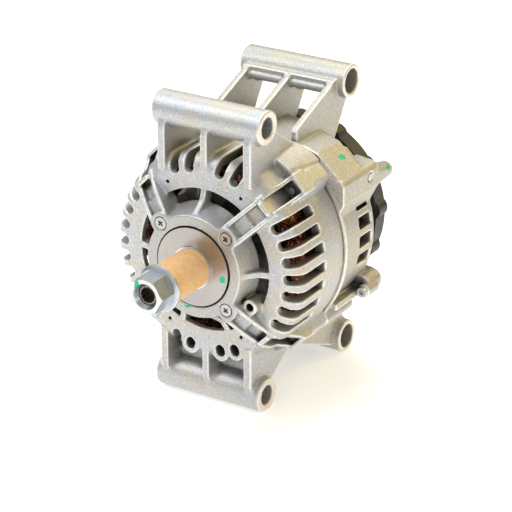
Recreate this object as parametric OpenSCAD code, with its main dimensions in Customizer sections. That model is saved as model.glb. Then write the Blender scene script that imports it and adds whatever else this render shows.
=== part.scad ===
/* [Housing] */
// Outer radius of the front housing
body_r = 87; // [84:0.5:92]
// Outer radius of the rear housing
rear_r = 84.5; // [83:0.5:87]
// Radius of the stator seat in both housings
seat_r = 79.6; // [79:0.1:80.5]
// Inner radius of the housings round the winding ends
shell_in_r = 77; // [76.5:0.1:78]
// Front plane of the slotted face plate, behind the hub face
plate_y = 16; // [14:0.5:17]
// Thickness of the face plate
plate_t = 6; // [4:0.5:7]
// Inner radius of the face plate, the edge of the front air opening
plate_in_r = 59.5; // [57:0.5:61]
// Radius of the shoulder between the face plate and the side
shoulder_r = 14; // [8:0.5:15]
// Plane where the two housings meet
split_y = 84; // [82:0.5:88]
// Rear plane of the rear housing
rear_y = 142; // [141:0.5:146]
// Thickness of the rear wall
rear_wall = 6; // [4:0.5:7]

/* [Vents] */
// Angle from one vent slot to the next
vent_pitch = 10.5; // [10:0.1:11]
// Width of a front vent slot
vent_w = 8.4; // [6:0.2:9.4]
// Radius where a front vent slot starts on the face plate
vent_in_r = 72; // [69:0.5:74]
// Rear end of the front vent slots on the side
vent_end_y = 56; // [46:1:58]
// Front end of the rear side vents
rear_vent_y = 115; // [110:1:118]
// Length of the rear side vents along the shaft
rear_vent_l = 18; // [12:1:20]
// Width of a rear side vent
rear_vent_w = 10; // [6:0.5:11]

/* [Hub] */
// Outer radius of the front hub face
hub_r = 42.5; // [41:0.5:44]
// Radius of the hub where it meets the fan opening
hub_back_r = 48; // [46:0.5:50]
// Length of the front hub along the shaft
hub_l = 22; // [21:0.5:24]
// Distance of the retainer screws from the shaft, across and up
screw_off = 30; // [29.5:0.25:31]
// Radius of the lobe round each retainer screw
lobe_r = 9; // [8:0.5:10]
// Thickness of the radial ribs
rib_t = 5; // [2.5:0.5:6]

/* [Corners] */
// Distance of the through bolts from the shaft
bolt_circle_r = 84; // [83:0.5:86]
// Radius of a through bolt
bolt_r = 3; // [2.5:0.25:3.5]
// Outer reach of the corner bosses
corner_r = 97; // [94:0.5:100]
// Half width of the corner bosses
corner_half_w = 12; // [10:0.5:13]
// Inner half width of the channels that run out to the bolts
channel_half_w = 6; // [5:0.5:7]
// Wall of the channels
channel_wall = 3.5; // [2:0.5:4]

/* [Mounting tubes] */
// Half length of the mounting tubes
tube_half_l = 49; // [46:1:56]
// Outer radius of the mounting tubes
tube_r = 13.9; // [13:0.1:15]
// Radius of the bore in the front tubes
front_bore_r = 8.25; // [6:0.25:9.5]
// Radius of the bore in the rear tubes
rear_bore_r = 10.25; // [8:0.25:11]
// Height of the upper tubes above the shaft
top_z = 114.5; // [112:0.5:120]
// Depth of the lower tubes below the shaft
bottom_z = 112.2; // [110:0.2:118]
// Plane of the front tubes
front_tube_y = 31.3; // [30:0.1:34]
// Plane of the rear tubes
rear_tube_y = 159.5; // [157:0.5:163]
// Place of the middle of each outer leg, from the middle plane
leg_x = 39.5; // [37:0.5:42]
// Thickness of the outer legs
leg_t = 7; // [5:0.5:8]
// Thickness of the middle leg
mid_leg_t = 6; // [4:0.5:8]

/* [Shaft and bearings] */
// Radius of the shaft in the front bearing
shaft_r = 12.5; // [12:0.25:13]
// Radius of the shaft under the pulley
nose_r = 8.5; // [8:0.25:9]
// Front end of the shaft
nose_y = 61.5; // [60:0.5:63]
// Outer radius of the front bearing
front_brg_r = 31; // [30:0.5:32]
// Width of the front bearing
front_brg_w = 17; // [15:0.5:17]
// Radius of the shaft in the rear bearing
rear_shaft_r = 8.5; // [8:0.25:9]
// Outer radius of the rear bearing
rear_brg_r = 20; // [19.5:0.5:20.5]
// Width of the rear bearing
rear_brg_w = 12; // [11:0.5:13]
// Balls in each bearing
ball_count = 8; // [6:1:9]

/* [Front stack] */
// Radius of the machined disc in front of the bearing
disc_r = 32.5; // [31.5:0.5:33]
// Gap round the disc
disc_gap = 1.2; // [0.6:0.1:1.5]
// Outer radius of the transit sleeve
sleeve_r = 16.25; // [14:0.25:17]
// Length of the transit sleeve
sleeve_l = 43.5; // [38:0.5:46]
// Thickness of the shoulder ring between the sleeve and the disc
shoulder_t = 2; // [1:0.5:3]
// Size across the flats of the shaft nut
nut_flats = 27; // [24:1:30]
// Height of the shaft nut over its flange
nut_h = 16; // [12:0.5:18]
// Radius of the nut flange
nut_flange_r = 19; // [17.5:0.5:21]
// Thickness of the nut flange
nut_flange_t = 3.5; // [2:0.5:4]

/* [Stator and rotor] */
// Front end of the stator core
core_y = 62; // [60:0.5:63]
// Length of the stator core
core_l = 44; // [42:0.5:44]
// Inner radius of the stator core
core_in_r = 58.5; // [58:0.25:59.5]
// Air gap between rotor and stator
air_gap = 0.8; // [0.5:0.1:1.2]
// Slots in the stator core
slot_count = 36; // [24:12:48]
// Width of a stator slot
slot_w = 4; // [3:0.25:4.5]
// Depth of a stator slot
slot_d = 12; // [9:0.5:14]
// Reach of the front winding ends past the core
winding_l = 29; // [24:1:30]
// Poles of each claw half
pole_count = 8; // [6:1:8]
// Outer radius of the fans
fan_r = 55.5; // [50:0.5:56]
// Blades of each fan
blade_count = 12; // [9:1:14]

/* [Rear electrics] */
// Clear length between the rear housing and the rectifier
post_l = 6; // [5:0.5:8]
// Thickness of the rectifier plates
plate_sink_t = 3; // [2:0.5:4]
// Clear length between the two rectifier plates
sink_gap = 6; // [5.5:0.5:7]
// Distance of the diodes from the shaft
diode_circle_r = 40; // [38:0.5:42]
// Radius of a diode
diode_r = 6.35; // [5.5:0.05:6.5]
// Radius of the slip rings
ring_r = 8; // [7.5:0.25:9]
// Width of a slip ring
ring_w = 6; // [5:0.5:6.5]
// Length of a brush
brush_l = 16; // [12:1:18]
// Travel of a brush back into its holder
brush_travel = 3; // [2:0.5:4]
// Outer radius of the rear cover
cover_r = 73; // [72:0.5:75]
// Rear plane of the rear cover
cover_y = 176; // [175:0.5:180]
// Depth of the rim of the rear cover
cover_rim = 15; // [10:0.5:16]
// Wall of the rear cover
cover_wall = 3; // [2:0.5:4]

/* [Hidden] */
$fn = 72;
eps = 0.01;
fit = 0.05;
seat_gap = 0.1;
corner_angles = [45, 135, 225, 315];
rib_angles = [0, 90, 180, -69, -111];
side_vents = [-3, -2, -1, 0, 1, 2, 3];
window_vents = [-2, -1, 1, 2];
lobe_vents = [-1, 1, 2];
lobe_vent_r = 78;
rear_vent_angles = [20, 9, -2, -13];
screw_r = screw_off * sqrt(2);

// Planes along the shaft
plate_back = plate_y + plate_t;
lip_y = 3.4;
front_brg_y = 5;
rear_in_y = rear_y - rear_wall;
rear_brg_y = rear_in_y + 3;
retainer_t = 3;
sleeve_y = -shoulder_t - 0.5 - sleeve_l;
nut_y = sleeve_y - nut_flange_t;
rotor_front_y = core_y - 12;
rotor_rear_y = core_y + core_l + 12;
fan_depth = 16;
fan_plate_t = 2.5;
rear_fan_depth = 13;
neg_y = rear_y + post_l;
pos_y = neg_y + plate_sink_t + sink_gap;
rotor_r = core_in_r - air_gap;
core_r = seat_r - seat_gap;
leg_half = leg_t / 2;
retainer_in_r = 20;

// Draws a profile of x and z from one plane along the shaft to another
module along_y(y0, y1) {
  translate([0, y1, 0]) rotate([90, 0, 0]) linear_extrude(y1 - y0) children();
}

// Draws a profile of y and z from one plane across the shaft to another
module along_x(x0, x1) {
  translate([x0, 0, 0]) rotate([90, 0, 90]) linear_extrude(x1 - x0) children();
}

// Turns a profile of radius and y about the shaft
module turned() {
  rotate([-90, 0, 0]) rotate_extrude() children();
}

module rod_y(y0, y1, r, r2 = undef) {
  translate([0, y0, 0]) rotate([-90, 0, 0]) cylinder(h = y1 - y0, r1 = r, r2 = is_undef(r2) ? r : r2);
}

module rod_x(x0, x1, r) {
  translate([x0, 0, 0]) rotate([0, 90, 0]) cylinder(h = x1 - x0, r = r);
}

// Places a child at an angle from the right, counted upwards, and at a radius
module at_angle(a, r = 0) {
  rotate([0, -a, 0]) translate([r, 0, 0]) children();
}

// Draws a plate in a plane through the shaft, from a profile of radius and y
module radial_plate(v0, v1) {
  translate([0, 0, v0]) linear_extrude(v1 - v0) children();
}

module ring_sector(r0, r1, a0, a1) {
  step = 6;
  n = ceil((a1 - a0) / step);
  intersection() {
    difference() {
      circle(r = r1);
      circle(r = r0);
    }
    polygon(concat([[0, 0]], [for (i = [0:n]) 2 * r1 * [cos(a0 + (a1 - a0) * i / n),
                                                        sin(a0 + (a1 - a0) * i / n)]]));
  }
}

function arc(cx, cy, r, a0, a1, n) = [for (i = [0:n])
  [cx + r * cos(a0 + (a1 - a0) * i / n), cy + r * sin(a0 + (a1 - a0) * i / n)]];

// Stadium slot from one radius outwards, seen along the shaft
module slot_profile(r0, r1, w) {
  translate([r0 + w / 2, 0]) circle(d = w);
  translate([r0 + w / 2, -w / 2]) square([r1 - r0 - w / 2, w]);
}

// Shell of the front housing with its shoulder
module front_shell() {
  turned() polygon(concat(
    [[plate_in_r, plate_back], [plate_in_r, plate_y]],
    arc(body_r - shoulder_r, plate_y + shoulder_r, shoulder_r, -90, 0, 8),
    [[body_r, split_y + 1], [seat_r - 4, split_y + 1], [shell_in_r - 4, plate_back]]
  ));
}

module front_vents() {
  for (side = [0, 180]) for (i = side_vents) at_angle(side + i * vent_pitch)
    along_y(plate_y - 1, vent_end_y) slot_profile(vent_in_r, body_r + 2, vent_w);
  for (i = window_vents) at_angle(90 + i * vent_pitch)
    along_y(plate_y - 1, vent_end_y) slot_profile(vent_in_r, body_r + 2, vent_w);
  at_angle(270 - 2 * vent_pitch)
    along_y(plate_y - 1, plate_back + 9) slot_profile(vent_in_r, body_r + 2, vent_w);
  for (i = lobe_vents) at_angle(270 + i * vent_pitch) along_y(plate_y - 1, plate_back + 9) {
    slot_profile(vent_in_r, lobe_vent_r, vent_w);
    translate([lobe_vent_r, 0]) circle(d = vent_w);
  }
}

// Rounded ends of the lower slots, which hang over the shoulder
module vent_lobes() {
  lobe_end_r = vent_w / 2 + 3.8;
  for (i = lobe_vents) at_angle(270 + i * vent_pitch) along_y(plate_y + 0.1, plate_back + 5) hull() {
    translate([lobe_vent_r, 0]) circle(r = lobe_end_r);
    translate([vent_in_r, 0]) circle(r = lobe_end_r);
  }
}

// Space inside the front housing for the rotor, fan and stator
module front_inside() {
  turned() polygon([
    [0, hub_l], [hub_back_r + 2, hub_l], [hub_back_r + 3, plate_back + 5.5],
    [plate_in_r + 2, plate_back + 5.5], [plate_in_r + 2, plate_back], [shell_in_r - 6, plate_back],
    [shell_in_r, plate_back + 8], [shell_in_r, core_y], [seat_r, core_y], [seat_r, split_y + 2],
    [0, split_y + 2]
  ]);
}

module front_hub() {
  rod_y(0, hub_l, hub_r, hub_back_r);
  for (a = corner_angles) at_angle(a, screw_r) rod_y(0, hub_l, lobe_r);
}

// Radial rib from the hub to the face plate
module hub_rib() {
  radial_plate(-rib_t / 2, rib_t / 2) polygon([
    [hub_r - 3, 3], [hub_r + 1, 3], [hub_r + 9, plate_y - 3], [plate_in_r + 1, plate_y],
    [plate_in_r + 6, plate_y + 1], [plate_in_r + 6, plate_back - 1], [plate_in_r + 1, plate_back + 4],
    [hub_r - 3, hub_l + 1]
  ]);
}

// Points of the channel floor, in radius and y, from the hub to the outer end wall
channel_floor = [
  [screw_r, 1], [screw_r + 7, 1], [screw_r + 9, 9], [screw_r + 20, 12], [screw_r + 21, plate_y - 1],
  [shell_in_r - 5, plate_y + 2.5], [bolt_circle_r - 3.5, plate_y + 10], [bolt_circle_r - 3.5, 50],
  [corner_r - 4, 50], [corner_r - 3.5, 45.5]
];

// Space of a channel in front of its floor
module channel_space() {
  radial_plate(-channel_half_w, channel_half_w) polygon(concat(
    channel_floor, [[corner_r + 4, 40], [corner_r + 4, 0], [screw_r, 0]]));
}

// Bar across a channel, over the edge of the face plate
bar_u = 77;
bar_t = 3.5;

// Channel from the hub to the bolt, and the boss behind it
module front_corner() {
  wall_out = channel_half_w + channel_wall;
  radial_plate(-channel_half_w - eps, channel_half_w + eps) polygon([
    [bar_u, plate_y - 3], [bar_u + bar_t, plate_y - 2], [bar_u + bar_t, plate_y + 12], [bar_u, plate_y + 12]
  ]);
  for (v = [-wall_out, channel_half_w]) radial_plate(v, v + channel_wall) polygon([
    [screw_r - 2, 1.5], [screw_r + 5, 1.5], [screw_r + 23, 9], [bolt_circle_r - 2, 18],
    [body_r + 1, 34], [corner_r - 3, 45], [corner_r, 47], [corner_r, 60], [body_r - 4, 60],
    [shell_in_r - 6, plate_back + 3], [screw_r - 2, hub_l + 3]
  ]);
  radial_plate(-channel_half_w - eps, channel_half_w + eps) polygon(concat(
    channel_floor, [[corner_r, 47], [corner_r, 60], [body_r - 4, 60], [shell_in_r - 5, plate_back + 6],
    [plate_in_r + 2, plate_back + 5], [screw_r, hub_l + 3]]));
  difference() {
    along_y(plate_y + 29, split_y + 1) corner_profile();
    channel_space();
  }
}

// Outline of a corner boss, seen along the shaft
module corner_profile() {
  polygon([
    [seat_r + 2.4, -corner_half_w - 1.5], [body_r - 2, -corner_half_w], [corner_r - 2, -corner_half_w + 4],
    [corner_r, -corner_half_w + 6], [corner_r, corner_half_w - 6], [corner_r - 2, corner_half_w - 4],
    [body_r - 2, corner_half_w], [seat_r + 2.4, corner_half_w + 1.5]
  ]);
}

// Leg of a front mounting bracket, of half thickness h, for a tube at height z
module front_leg(x, h, z) {
  along_x(x - h, x + h) polygon([
    [plate_y, shell_in_r - 9], [plate_y, z - 11], [front_tube_y - tube_r + 1, z - 4],
    [front_tube_y, z], [front_tube_y + tube_r - 1, z - 4], [split_y + 1, body_r - 4.5],
    [split_y + 1, shell_in_r - 4], [split_y - 14, shell_in_r - 9]
  ]);
}

// Tube, legs and side wedges of a front bracket at height z
module front_mount(z) {
  translate([0, front_tube_y, z]) rod_x(-tube_half_l, tube_half_l, tube_r);
  for (x = [-leg_x, leg_x]) front_leg(x, leg_half, z);
  front_leg(0, mid_leg_t / 2, z);
  for (s = [0, 1]) mirror([s, 0, 0]) hull() {
    along_y(plate_y + 34, plate_y + 35) shoulder_profile(4);
    along_y(split_y, split_y + 1) shoulder_profile(0);
  }
}

// Wall behind the lower tube, between its outer legs
module mount_wall() {
  along_x(-leg_x, leg_x) polygon([
    [front_tube_y + 3.7, 12.2 - bottom_z], [front_tube_y + 12.2, 5.7 - bottom_z],
    [front_tube_y + 15.5, 8.5 - bottom_z], [front_tube_y + 13, 1.3 - shell_in_r],
    [front_tube_y + 8, 1.3 - shell_in_r]
  ]);
}

// Outline between an upright leg and a corner boss, lower by an amount towards the front
module shoulder_profile(drop) {
  polygon([
    [leg_x + drop, shell_in_r - 4], [leg_x - leg_half + 2 * drop, body_r - 0.5 - drop],
    [leg_x + leg_half + drop, body_r - 1 - drop], [56.5, 80.7 - drop], [63.8 - drop, 75.5 - drop],
    [(seat_r + 2.5) * cos(45), (seat_r + 2.5) * sin(45)]
  ]);
}

// Boss tube beside the hub, with its blind thread hole
boss_x = 46.7;
boss_z = -26.7;
boss_y = 8;
boss_r = 6.3;
boss_hole_r = 3.4;
boss_hole_l = 18;
pin_x = 33.7;
pin_z = 58.8;
pin_r = 1.6;

module front_housing() {
  color("silver") difference() {
    union() {
      difference() {
        union() {
          front_shell();
          front_mount(top_z);
          mirror([0, 0, 1]) front_mount(bottom_z);
          vent_lobes();
          mount_wall();
        }
        front_vents();
        for (a = corner_angles) at_angle(a) channel_space();
      }
      front_hub();
      for (a = rib_angles) at_angle(a) hub_rib();
      for (a = corner_angles) at_angle(a) front_corner();
      translate([boss_x, 0, boss_z]) rod_y(boss_y, plate_back + 4, boss_r);
      for (i = [0, 1]) translate([12 + 6.5 * i, plate_y - 0.8, pin_z + 5 - 1.5 * i])
        cube([4.6, 1.8, 1.8]);
    }
    front_inside();
    rod_y(split_y, split_y + 2, 2 * corner_r);
    for (a = corner_angles) at_angle(a, screw_r) {
      rod_y(-1, 3.2, 5.6);
      rod_y(-1, hub_l + 1, 2.7);
    }
    for (a = corner_angles) at_angle(a, bolt_circle_r) rod_y(plate_y, split_y + 2, bolt_r + fit);
    rod_y(-1, lip_y, disc_r + disc_gap);
    rod_y(-1, hub_l + 1, front_brg_r - 4);
    rod_y(front_brg_y, hub_l + 1, front_brg_r + fit);
    for (z = [top_z, -bottom_z]) translate([0, front_tube_y, z])
      rod_x(-tube_half_l - 1, tube_half_l + 1, front_bore_r);
    translate([boss_x, 0, boss_z]) {
      rod_y(boss_y - 1, boss_y + boss_hole_l, boss_hole_r);
      rod_y(-1, boss_y, boss_hole_r + 1);
    }
    for (x = [-pin_x, pin_x], z = [-pin_z, pin_z]) translate([x, 0, z])
      rod_y(plate_y - 1, plate_back + 1, pin_r);
  }
}

// Space inside the rear housing
module rear_inside() {
  turned() polygon([
    [0, split_y - 1], [seat_r, split_y - 1], [seat_r, core_y + core_l], [shell_in_r, core_y + core_l],
    [shell_in_r, rear_in_y - 6], [shell_in_r - 6, rear_in_y], [0, rear_in_y]
  ]);
}

// Plateau between the upper bracket's outer web and a lug, falling away towards the rear
module rear_shoulder() {
  hull() {
    along_y(split_y + 1.5, split_y + 36) polygon([
      [leg_x - 5, seat_r - 6], [leg_x - 5, rear_r + 1], [52, rear_r - 3], [61, 78.5], [74, 66.5],
      [82, 60], [seat_r - 1, 44]
    ]);
    along_y(rear_y - 9, rear_y - 6) polygon([
      [leg_x - 5, seat_r - 12], [leg_x - 5, seat_r - 4], [52, seat_r - 14], [64, 54], [seat_r - 2, 44],
      [seat_r - 9, 40]
    ]);
  }
}

// Large triangular web of the upper rear bracket
module rear_web(x, h) {
  along_x(x - h, x + h) polygon([
    [split_y + 1, rear_r - 8], [split_y + 1, top_z - 22], [split_y + 4, top_z - 19],
    [rear_tube_y - 21, top_z + 0.7], [rear_tube_y - 18, top_z + 3.7], [rear_tube_y - 6, top_z + 3.7],
    [rear_tube_y, top_z], [rear_tube_y + 8, top_z - 10], [rear_y + 5, rear_r - 12],
    [rear_y, rear_r - 20], [rear_y - 8, rear_r - 20]
  ]);
}

// Arm plate of the lower rear bracket
module rear_arm(x, h) {
  along_x(x - h, x + h) polygon([
    [split_y + 1, -rear_r + 8], [split_y + 1, -rear_r - 7], [rear_tube_y - 16, -bottom_z - 4],
    [rear_tube_y, -bottom_z - tube_r + 3], [rear_tube_y + 8, -bottom_z + 10],
    [rear_y + 3, -rear_r + 14], [rear_y, -rear_r + 22], [rear_y - 8, -rear_r + 22]
  ]);
}

rear_posts = [60, 120, 210, 240, 300, 330];
post_r = 58;
cover_bosses = [30, 150, 270];
cover_boss_r = 69;
lug_x = 86;
lug_pin_y = 127;
lug_pin_z = 50;
lug_screw_y = 122;
lug_screw_x = 84;
lug_screw_z = -48;
rail_x = lug_screw_x - 5;
lug_end_r = 9;
nose_tip_y = 165;
nose_x = 79.4;
nose_z = 44.5;
rear_corner_l = 42;
bolt_head_r = 5;

module rear_housing() {
  color("gainsboro") difference() {
    union() {
      difference() {
        turned() polygon([
          [seat_r - 4, split_y], [rear_r, split_y], [rear_r, rear_y - 5], [rear_r - 5, rear_y],
          [rear_brg_r - 5, rear_y], [rear_brg_r - 5, rear_in_y - 1], [seat_r - 4, rear_in_y - 1]
        ]);
        for (s = [0, 1], a = rear_vent_angles) mirror([s, 0, 0]) at_angle(a)
          along_y(rear_vent_y, rear_vent_y + rear_vent_l)
            translate([shell_in_r - 6, -rear_vent_w / 2]) square([20, rear_vent_w]);
        for (i = [0:11]) at_angle(15 + 30 * i) along_y(rear_in_y - 2, rear_y + 1) {
          slot_profile(30, 60, 9);
          translate([60, 0]) circle(d = 9);
        }
      }
      turned() polygon(concat([[rear_r - 1, split_y]], [[rear_r + 5, split_y], [rear_r + 5, split_y + 3],
        [rear_r - 1, split_y + 7]]));
      rod_y(rear_in_y, rear_brg_y + rear_brg_w + 1, rear_brg_r + 6);
      for (a = corner_angles) at_angle(a) along_y(split_y, split_y + rear_corner_l) corner_profile();
      for (s = [0, 1]) mirror([s, 0, 0]) rear_shoulder();
      for (a = rear_posts) at_angle(a, post_r) rod_y(rear_y - 1, neg_y, 4.5);
      translate([0, rear_tube_y, top_z]) rod_x(-tube_half_l, tube_half_l, tube_r);
      translate([0, rear_tube_y, -bottom_z]) rod_x(-tube_half_l, tube_half_l, tube_r);
      for (x = [-leg_x, 0, leg_x]) rear_web(x, mid_leg_t / 2);
      translate([0, rear_tube_y - 17, top_z - 4.1]) rod_x(-leg_x, leg_x, 3.8);
      translate([-leg_x, rear_tube_y - 18.5, top_z + 0.8]) cube([2 * leg_x, 15, 2.7]);
      for (x = [-leg_x, leg_x]) rear_arm(x, leg_half);
      along_y(split_y + 2, rear_y - 2) polygon([
        [-leg_x, -rear_r + 8], [leg_x, -rear_r + 8], [leg_x, -rear_r - 4], [-leg_x, -rear_r - 4]
      ]);
      upper_lug();
      lower_lug();
    }
    rear_inside();
    rod_y(rear_in_y - 1, rear_y + 30, rear_brg_r - 6);
    rod_y(rear_brg_y, rear_y + 30, rear_brg_r + fit);
    for (a = corner_angles) at_angle(a, bolt_circle_r) {
      rod_y(split_y - 1, split_y + 40, bolt_r + fit);
      rod_y(split_y + 26, rear_y - 2, bolt_head_r + 0.7);
    }
    for (z = [top_z, -bottom_z]) translate([0, rear_tube_y, z])
      rod_x(-tube_half_l - 1, tube_half_l + 1, rear_bore_r);
    for (a = cover_bosses) at_angle(a, cover_boss_r) rod_y(rear_y - 12, rear_y + 1, 2 + fit);
    for (a = rear_posts) at_angle(a, post_r) rod_y(rear_y, neg_y + 1, 2 + fit);
    translate([lug_x - 12, lug_pin_y, lug_pin_z]) {
      rod_x(0, 20, 3.2 + fit);
      rod_x(9.5, 20, 4.1);
    }
    translate([lug_screw_x, 0, lug_screw_z]) rod_y(lug_screw_y - 1, lug_screw_y + 15, 2.5 + fit);
    translate([nose_x, 0, nose_z]) rod_y(nose_tip_y - 14, nose_tip_y + 1, 2.6);
  }
}

// Lug on the upper right with a cone towards the rear
module upper_lug() {
  along_y(split_y + 0.5, rear_y - 2) polygon([
    [shell_in_r + 2, lug_pin_z - 24], [lug_x - 2, lug_pin_z - 14], [lug_x, lug_pin_z - 10],
    [lug_x, lug_pin_z + 6], [lug_x - 3, lug_pin_z + 10], [shell_in_r - 12, lug_pin_z + 12],
    [shell_in_r - 20, lug_pin_z]
  ]);
  intersection() {
    hull() {
      translate([lug_x - 10, 0, lug_pin_z - 3.5]) rod_y(rear_y - 22, rear_y - 20, 12.5);
      translate([nose_x, 0, nose_z]) rod_y(nose_tip_y - 1.5, nose_tip_y, 6.5, 5.5);
    }
    rod_x(0, lug_x, 2 * rear_y);
  }
}

// Round-ended lug on the lower right, with a screw boss and a rail towards the front
module lower_lug() {
  hull() {
    translate([lug_x - 8, 0, lug_screw_z + 2]) rod_y(lug_screw_y + 6, rear_y + 6, lug_end_r);
    along_y(lug_screw_y + 6, rear_y + 6) polygon([
      [shell_in_r - 16, lug_screw_z + 6], [shell_in_r - 8, lug_screw_z + 12],
      [shell_in_r - 20, lug_screw_z - 6]
    ]);
  }
  translate([lug_screw_x, 0, lug_screw_z]) rod_y(lug_screw_y, lug_screw_y + 18, 5.6);
  along_y(split_y + 4, lug_screw_y + 8) polygon([
    [shell_in_r - 16, lug_screw_z + 3], [rail_x, lug_screw_z - 0.5], [rail_x, lug_screw_z - 5.5],
    [shell_in_r - 20, lug_screw_z - 6]
  ]);
}

module bearing_retainer() {
  color("dimgray") difference() {
    union() {
      rod_y(hub_l, hub_l + retainer_t, front_brg_r + 4);
      for (a = corner_angles) at_angle(a, screw_r) rod_y(hub_l, hub_l + retainer_t, 6);
      for (a = [45, 135]) at_angle(a) along_y(hub_l, hub_l + retainer_t)
        square([2 * screw_r, 11], center = true);
    }
    rod_y(hub_l - 1, hub_l + retainer_t + 1, retainer_in_r);
    for (a = corner_angles) at_angle(a, screw_r) rod_y(hub_l - 1, hub_l + 9, 2.5 + fit);
  }
}

module retainer_screws() {
  color("lightgray") for (a = corner_angles) at_angle(a, screw_r) {
    difference() {
      rod_y(0.3, 3.2, 5);
      for (t = [0, 90]) rotate([0, t, 0]) translate([-2.6, -0.5, -0.6]) cube([5.2, 2.3, 1.2]);
    }
    rod_y(3.2 - eps, hub_l + retainer_t, 2.5);
  }
}

module through_bolts() {
  head_y = split_y + 26;
  color("lightsteelblue") for (a = corner_angles) at_angle(a, bolt_circle_r) {
    rod_y(49.2, head_y + eps, bolt_r);
    difference() {
      rod_y(head_y, head_y + 6, bolt_head_r);
      translate([0, head_y + 3, 0]) rotate([-90, 0, 0]) cylinder(h = 4, r = 2.9, $fn = 6);
    }
  }
}

// Sizes of a ball bearing, from its bore and outer radii
function pitch_of(ri, ro) = (ri + ro) / 2;
function ball_of(ri, ro) = (ro - ri) * 0.29;

module bearing_outer(y0, w, ri, ro) {
  ball = ball_of(ri, ro);
  turned() difference() {
    translate([pitch_of(ri, ro) + ball * 0.72, y0]) square([ro - pitch_of(ri, ro) - ball * 0.72, w]);
    translate([pitch_of(ri, ro), y0 + w / 2]) circle(r = ball + fit);
  }
}

module bearing_inner(y0, w, ri, ro) {
  ball = ball_of(ri, ro);
  turned() difference() {
    translate([ri, y0]) square([pitch_of(ri, ro) - ball * 0.72 - ri, w]);
    translate([pitch_of(ri, ro), y0 + w / 2]) circle(r = ball + fit);
  }
}

module bearing_balls(y0, w, ri, ro) {
  ball = ball_of(ri, ro);
  pitch = pitch_of(ri, ro);
  for (i = [0:ball_count - 1]) at_angle(i * 360 / ball_count, pitch) translate([0, y0 + w / 2, 0])
    sphere(r = ball);
  difference() {
    turned() translate([pitch - ball * 0.3, y0 + w / 2 - ball * 1.3]) square([ball * 0.6, ball * 2.6]);
    for (i = [0:ball_count - 1]) at_angle(i * 360 / ball_count, pitch - ball) translate([0, y0 + w / 2, 0])
      rotate([0, 90, 0]) cylinder(h = 2 * ball, r = ball + 0.12);
  }
}

module front_bearing_outer() {
  color("lightsteelblue") bearing_outer(front_brg_y, front_brg_w, shaft_r, front_brg_r);
}

module front_bearing_inner() {
  color("lightsteelblue") bearing_inner(front_brg_y, front_brg_w, shaft_r, front_brg_r);
}

module front_bearing_balls() {
  color("gold") bearing_balls(front_brg_y, front_brg_w, shaft_r, front_brg_r);
}

module rear_bearing_outer() {
  color("lightsteelblue") bearing_outer(rear_brg_y, rear_brg_w, rear_shaft_r, rear_brg_r);
}

module rear_bearing_inner() {
  color("lightsteelblue") bearing_inner(rear_brg_y, rear_brg_w, rear_shaft_r, rear_brg_r);
}

module rear_bearing_balls() {
  color("gold") bearing_balls(rear_brg_y, rear_brg_w, rear_shaft_r, rear_brg_r);
}

module stator_core() {
  color("slategray") difference() {
    turned() translate([core_in_r, core_y]) square([core_r - core_in_r, core_l]);
    for (i = [0:slot_count - 1]) at_angle(i * 360 / slot_count)
      translate([core_in_r - 1, core_y - 1, -slot_w / 2]) cube([slot_d + 1, core_l + 2, slot_w]);
  }
}

winding_in_r = core_in_r + 2;
winding_out_r = shell_in_r - 1;
rear_winding_l = winding_l - 5;

// Ring of winding ends from plane y, of length l
module winding_head(y, l) {
  turned() polygon([
    [winding_in_r, y], [winding_out_r - 4, y], [winding_out_r, y + 4], [winding_out_r, y + l - 4],
    [winding_out_r - 4, y + l], [winding_in_r, y + l]
  ]);
}

module stator_windings() {
  leg_clear = 0.2;
  color("sienna") {
    winding_head(core_y - winding_l - 0.3, winding_l);
    winding_head(core_y + core_l + 0.3, rear_winding_l);
    for (i = [0:slot_count - 1]) at_angle(i * 360 / slot_count)
      translate([winding_in_r, core_y - 1, -slot_w / 2 + leg_clear])
        cube([slot_d - 2 - leg_clear, core_l + 2, slot_w - 2 * leg_clear]);
  }
}

shaft_rear_y = rear_brg_y + rear_brg_w + 21;
core_shaft_r = 15;
spline_r = 6.7;

module shaft() {
  color("darkgray") difference() {
    turned() polygon([
      [0, -nose_y], [nose_r - 1, -nose_y], [nose_r, -nose_y + 1], [nose_r, -0.5], [shaft_r, -0.5],
      [shaft_r, front_brg_y + front_brg_w + 3], [core_shaft_r, front_brg_y + front_brg_w + 4],
      [core_shaft_r, rotor_rear_y + rear_fan_depth], [rear_shaft_r + 2, rear_brg_y - 2],
      [rear_shaft_r + 2, rear_brg_y], [rear_shaft_r, rear_brg_y], [rear_shaft_r, rear_brg_y + rear_brg_w],
      [ring_r - 2, rear_brg_y + rear_brg_w], [ring_r - 2, shaft_rear_y], [0, shaft_rear_y]
    ]);
    for (t = [0, 30]) translate([0, -nose_y - 1, 0]) rotate([-90, t, 0])
      cylinder(h = 11, r = spline_r, $fn = 6);
  }
}

// Tapered pole finger, with its root at the claw disc
module claw_half() {
  root = 13;
  root_w = 2 * rotor_r * sin(180 / (2 * pole_count)) * 0.86;
  tip_w = root_w * 0.45;
  finger_l = rotor_rear_y - rotor_front_y - 3;
  difference() {
    union() {
      rod_y(0, root, rotor_r - 14);
      intersection() {
        turned() polygon([[core_shaft_r, 0], [rotor_r, 0], [rotor_r, finger_l], [rotor_r - 4, finger_l],
          [rotor_r - 11, root], [core_shaft_r, root]]);
        for (i = [0:pole_count - 1]) at_angle(i * 360 / pole_count)
          rotate([0, 90, 0]) linear_extrude(rotor_r + 5) polygon([
            [-root_w / 2, -1], [root_w / 2, -1], [tip_w / 2, finger_l + 1], [-tip_w / 2, finger_l + 1]
          ]);
      }
    }
    rod_y(-1, root + 1, core_shaft_r + fit);
  }
}

module claw_pole_front() {
  color("dimgray") translate([0, rotor_front_y, 0]) claw_half();
}

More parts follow.
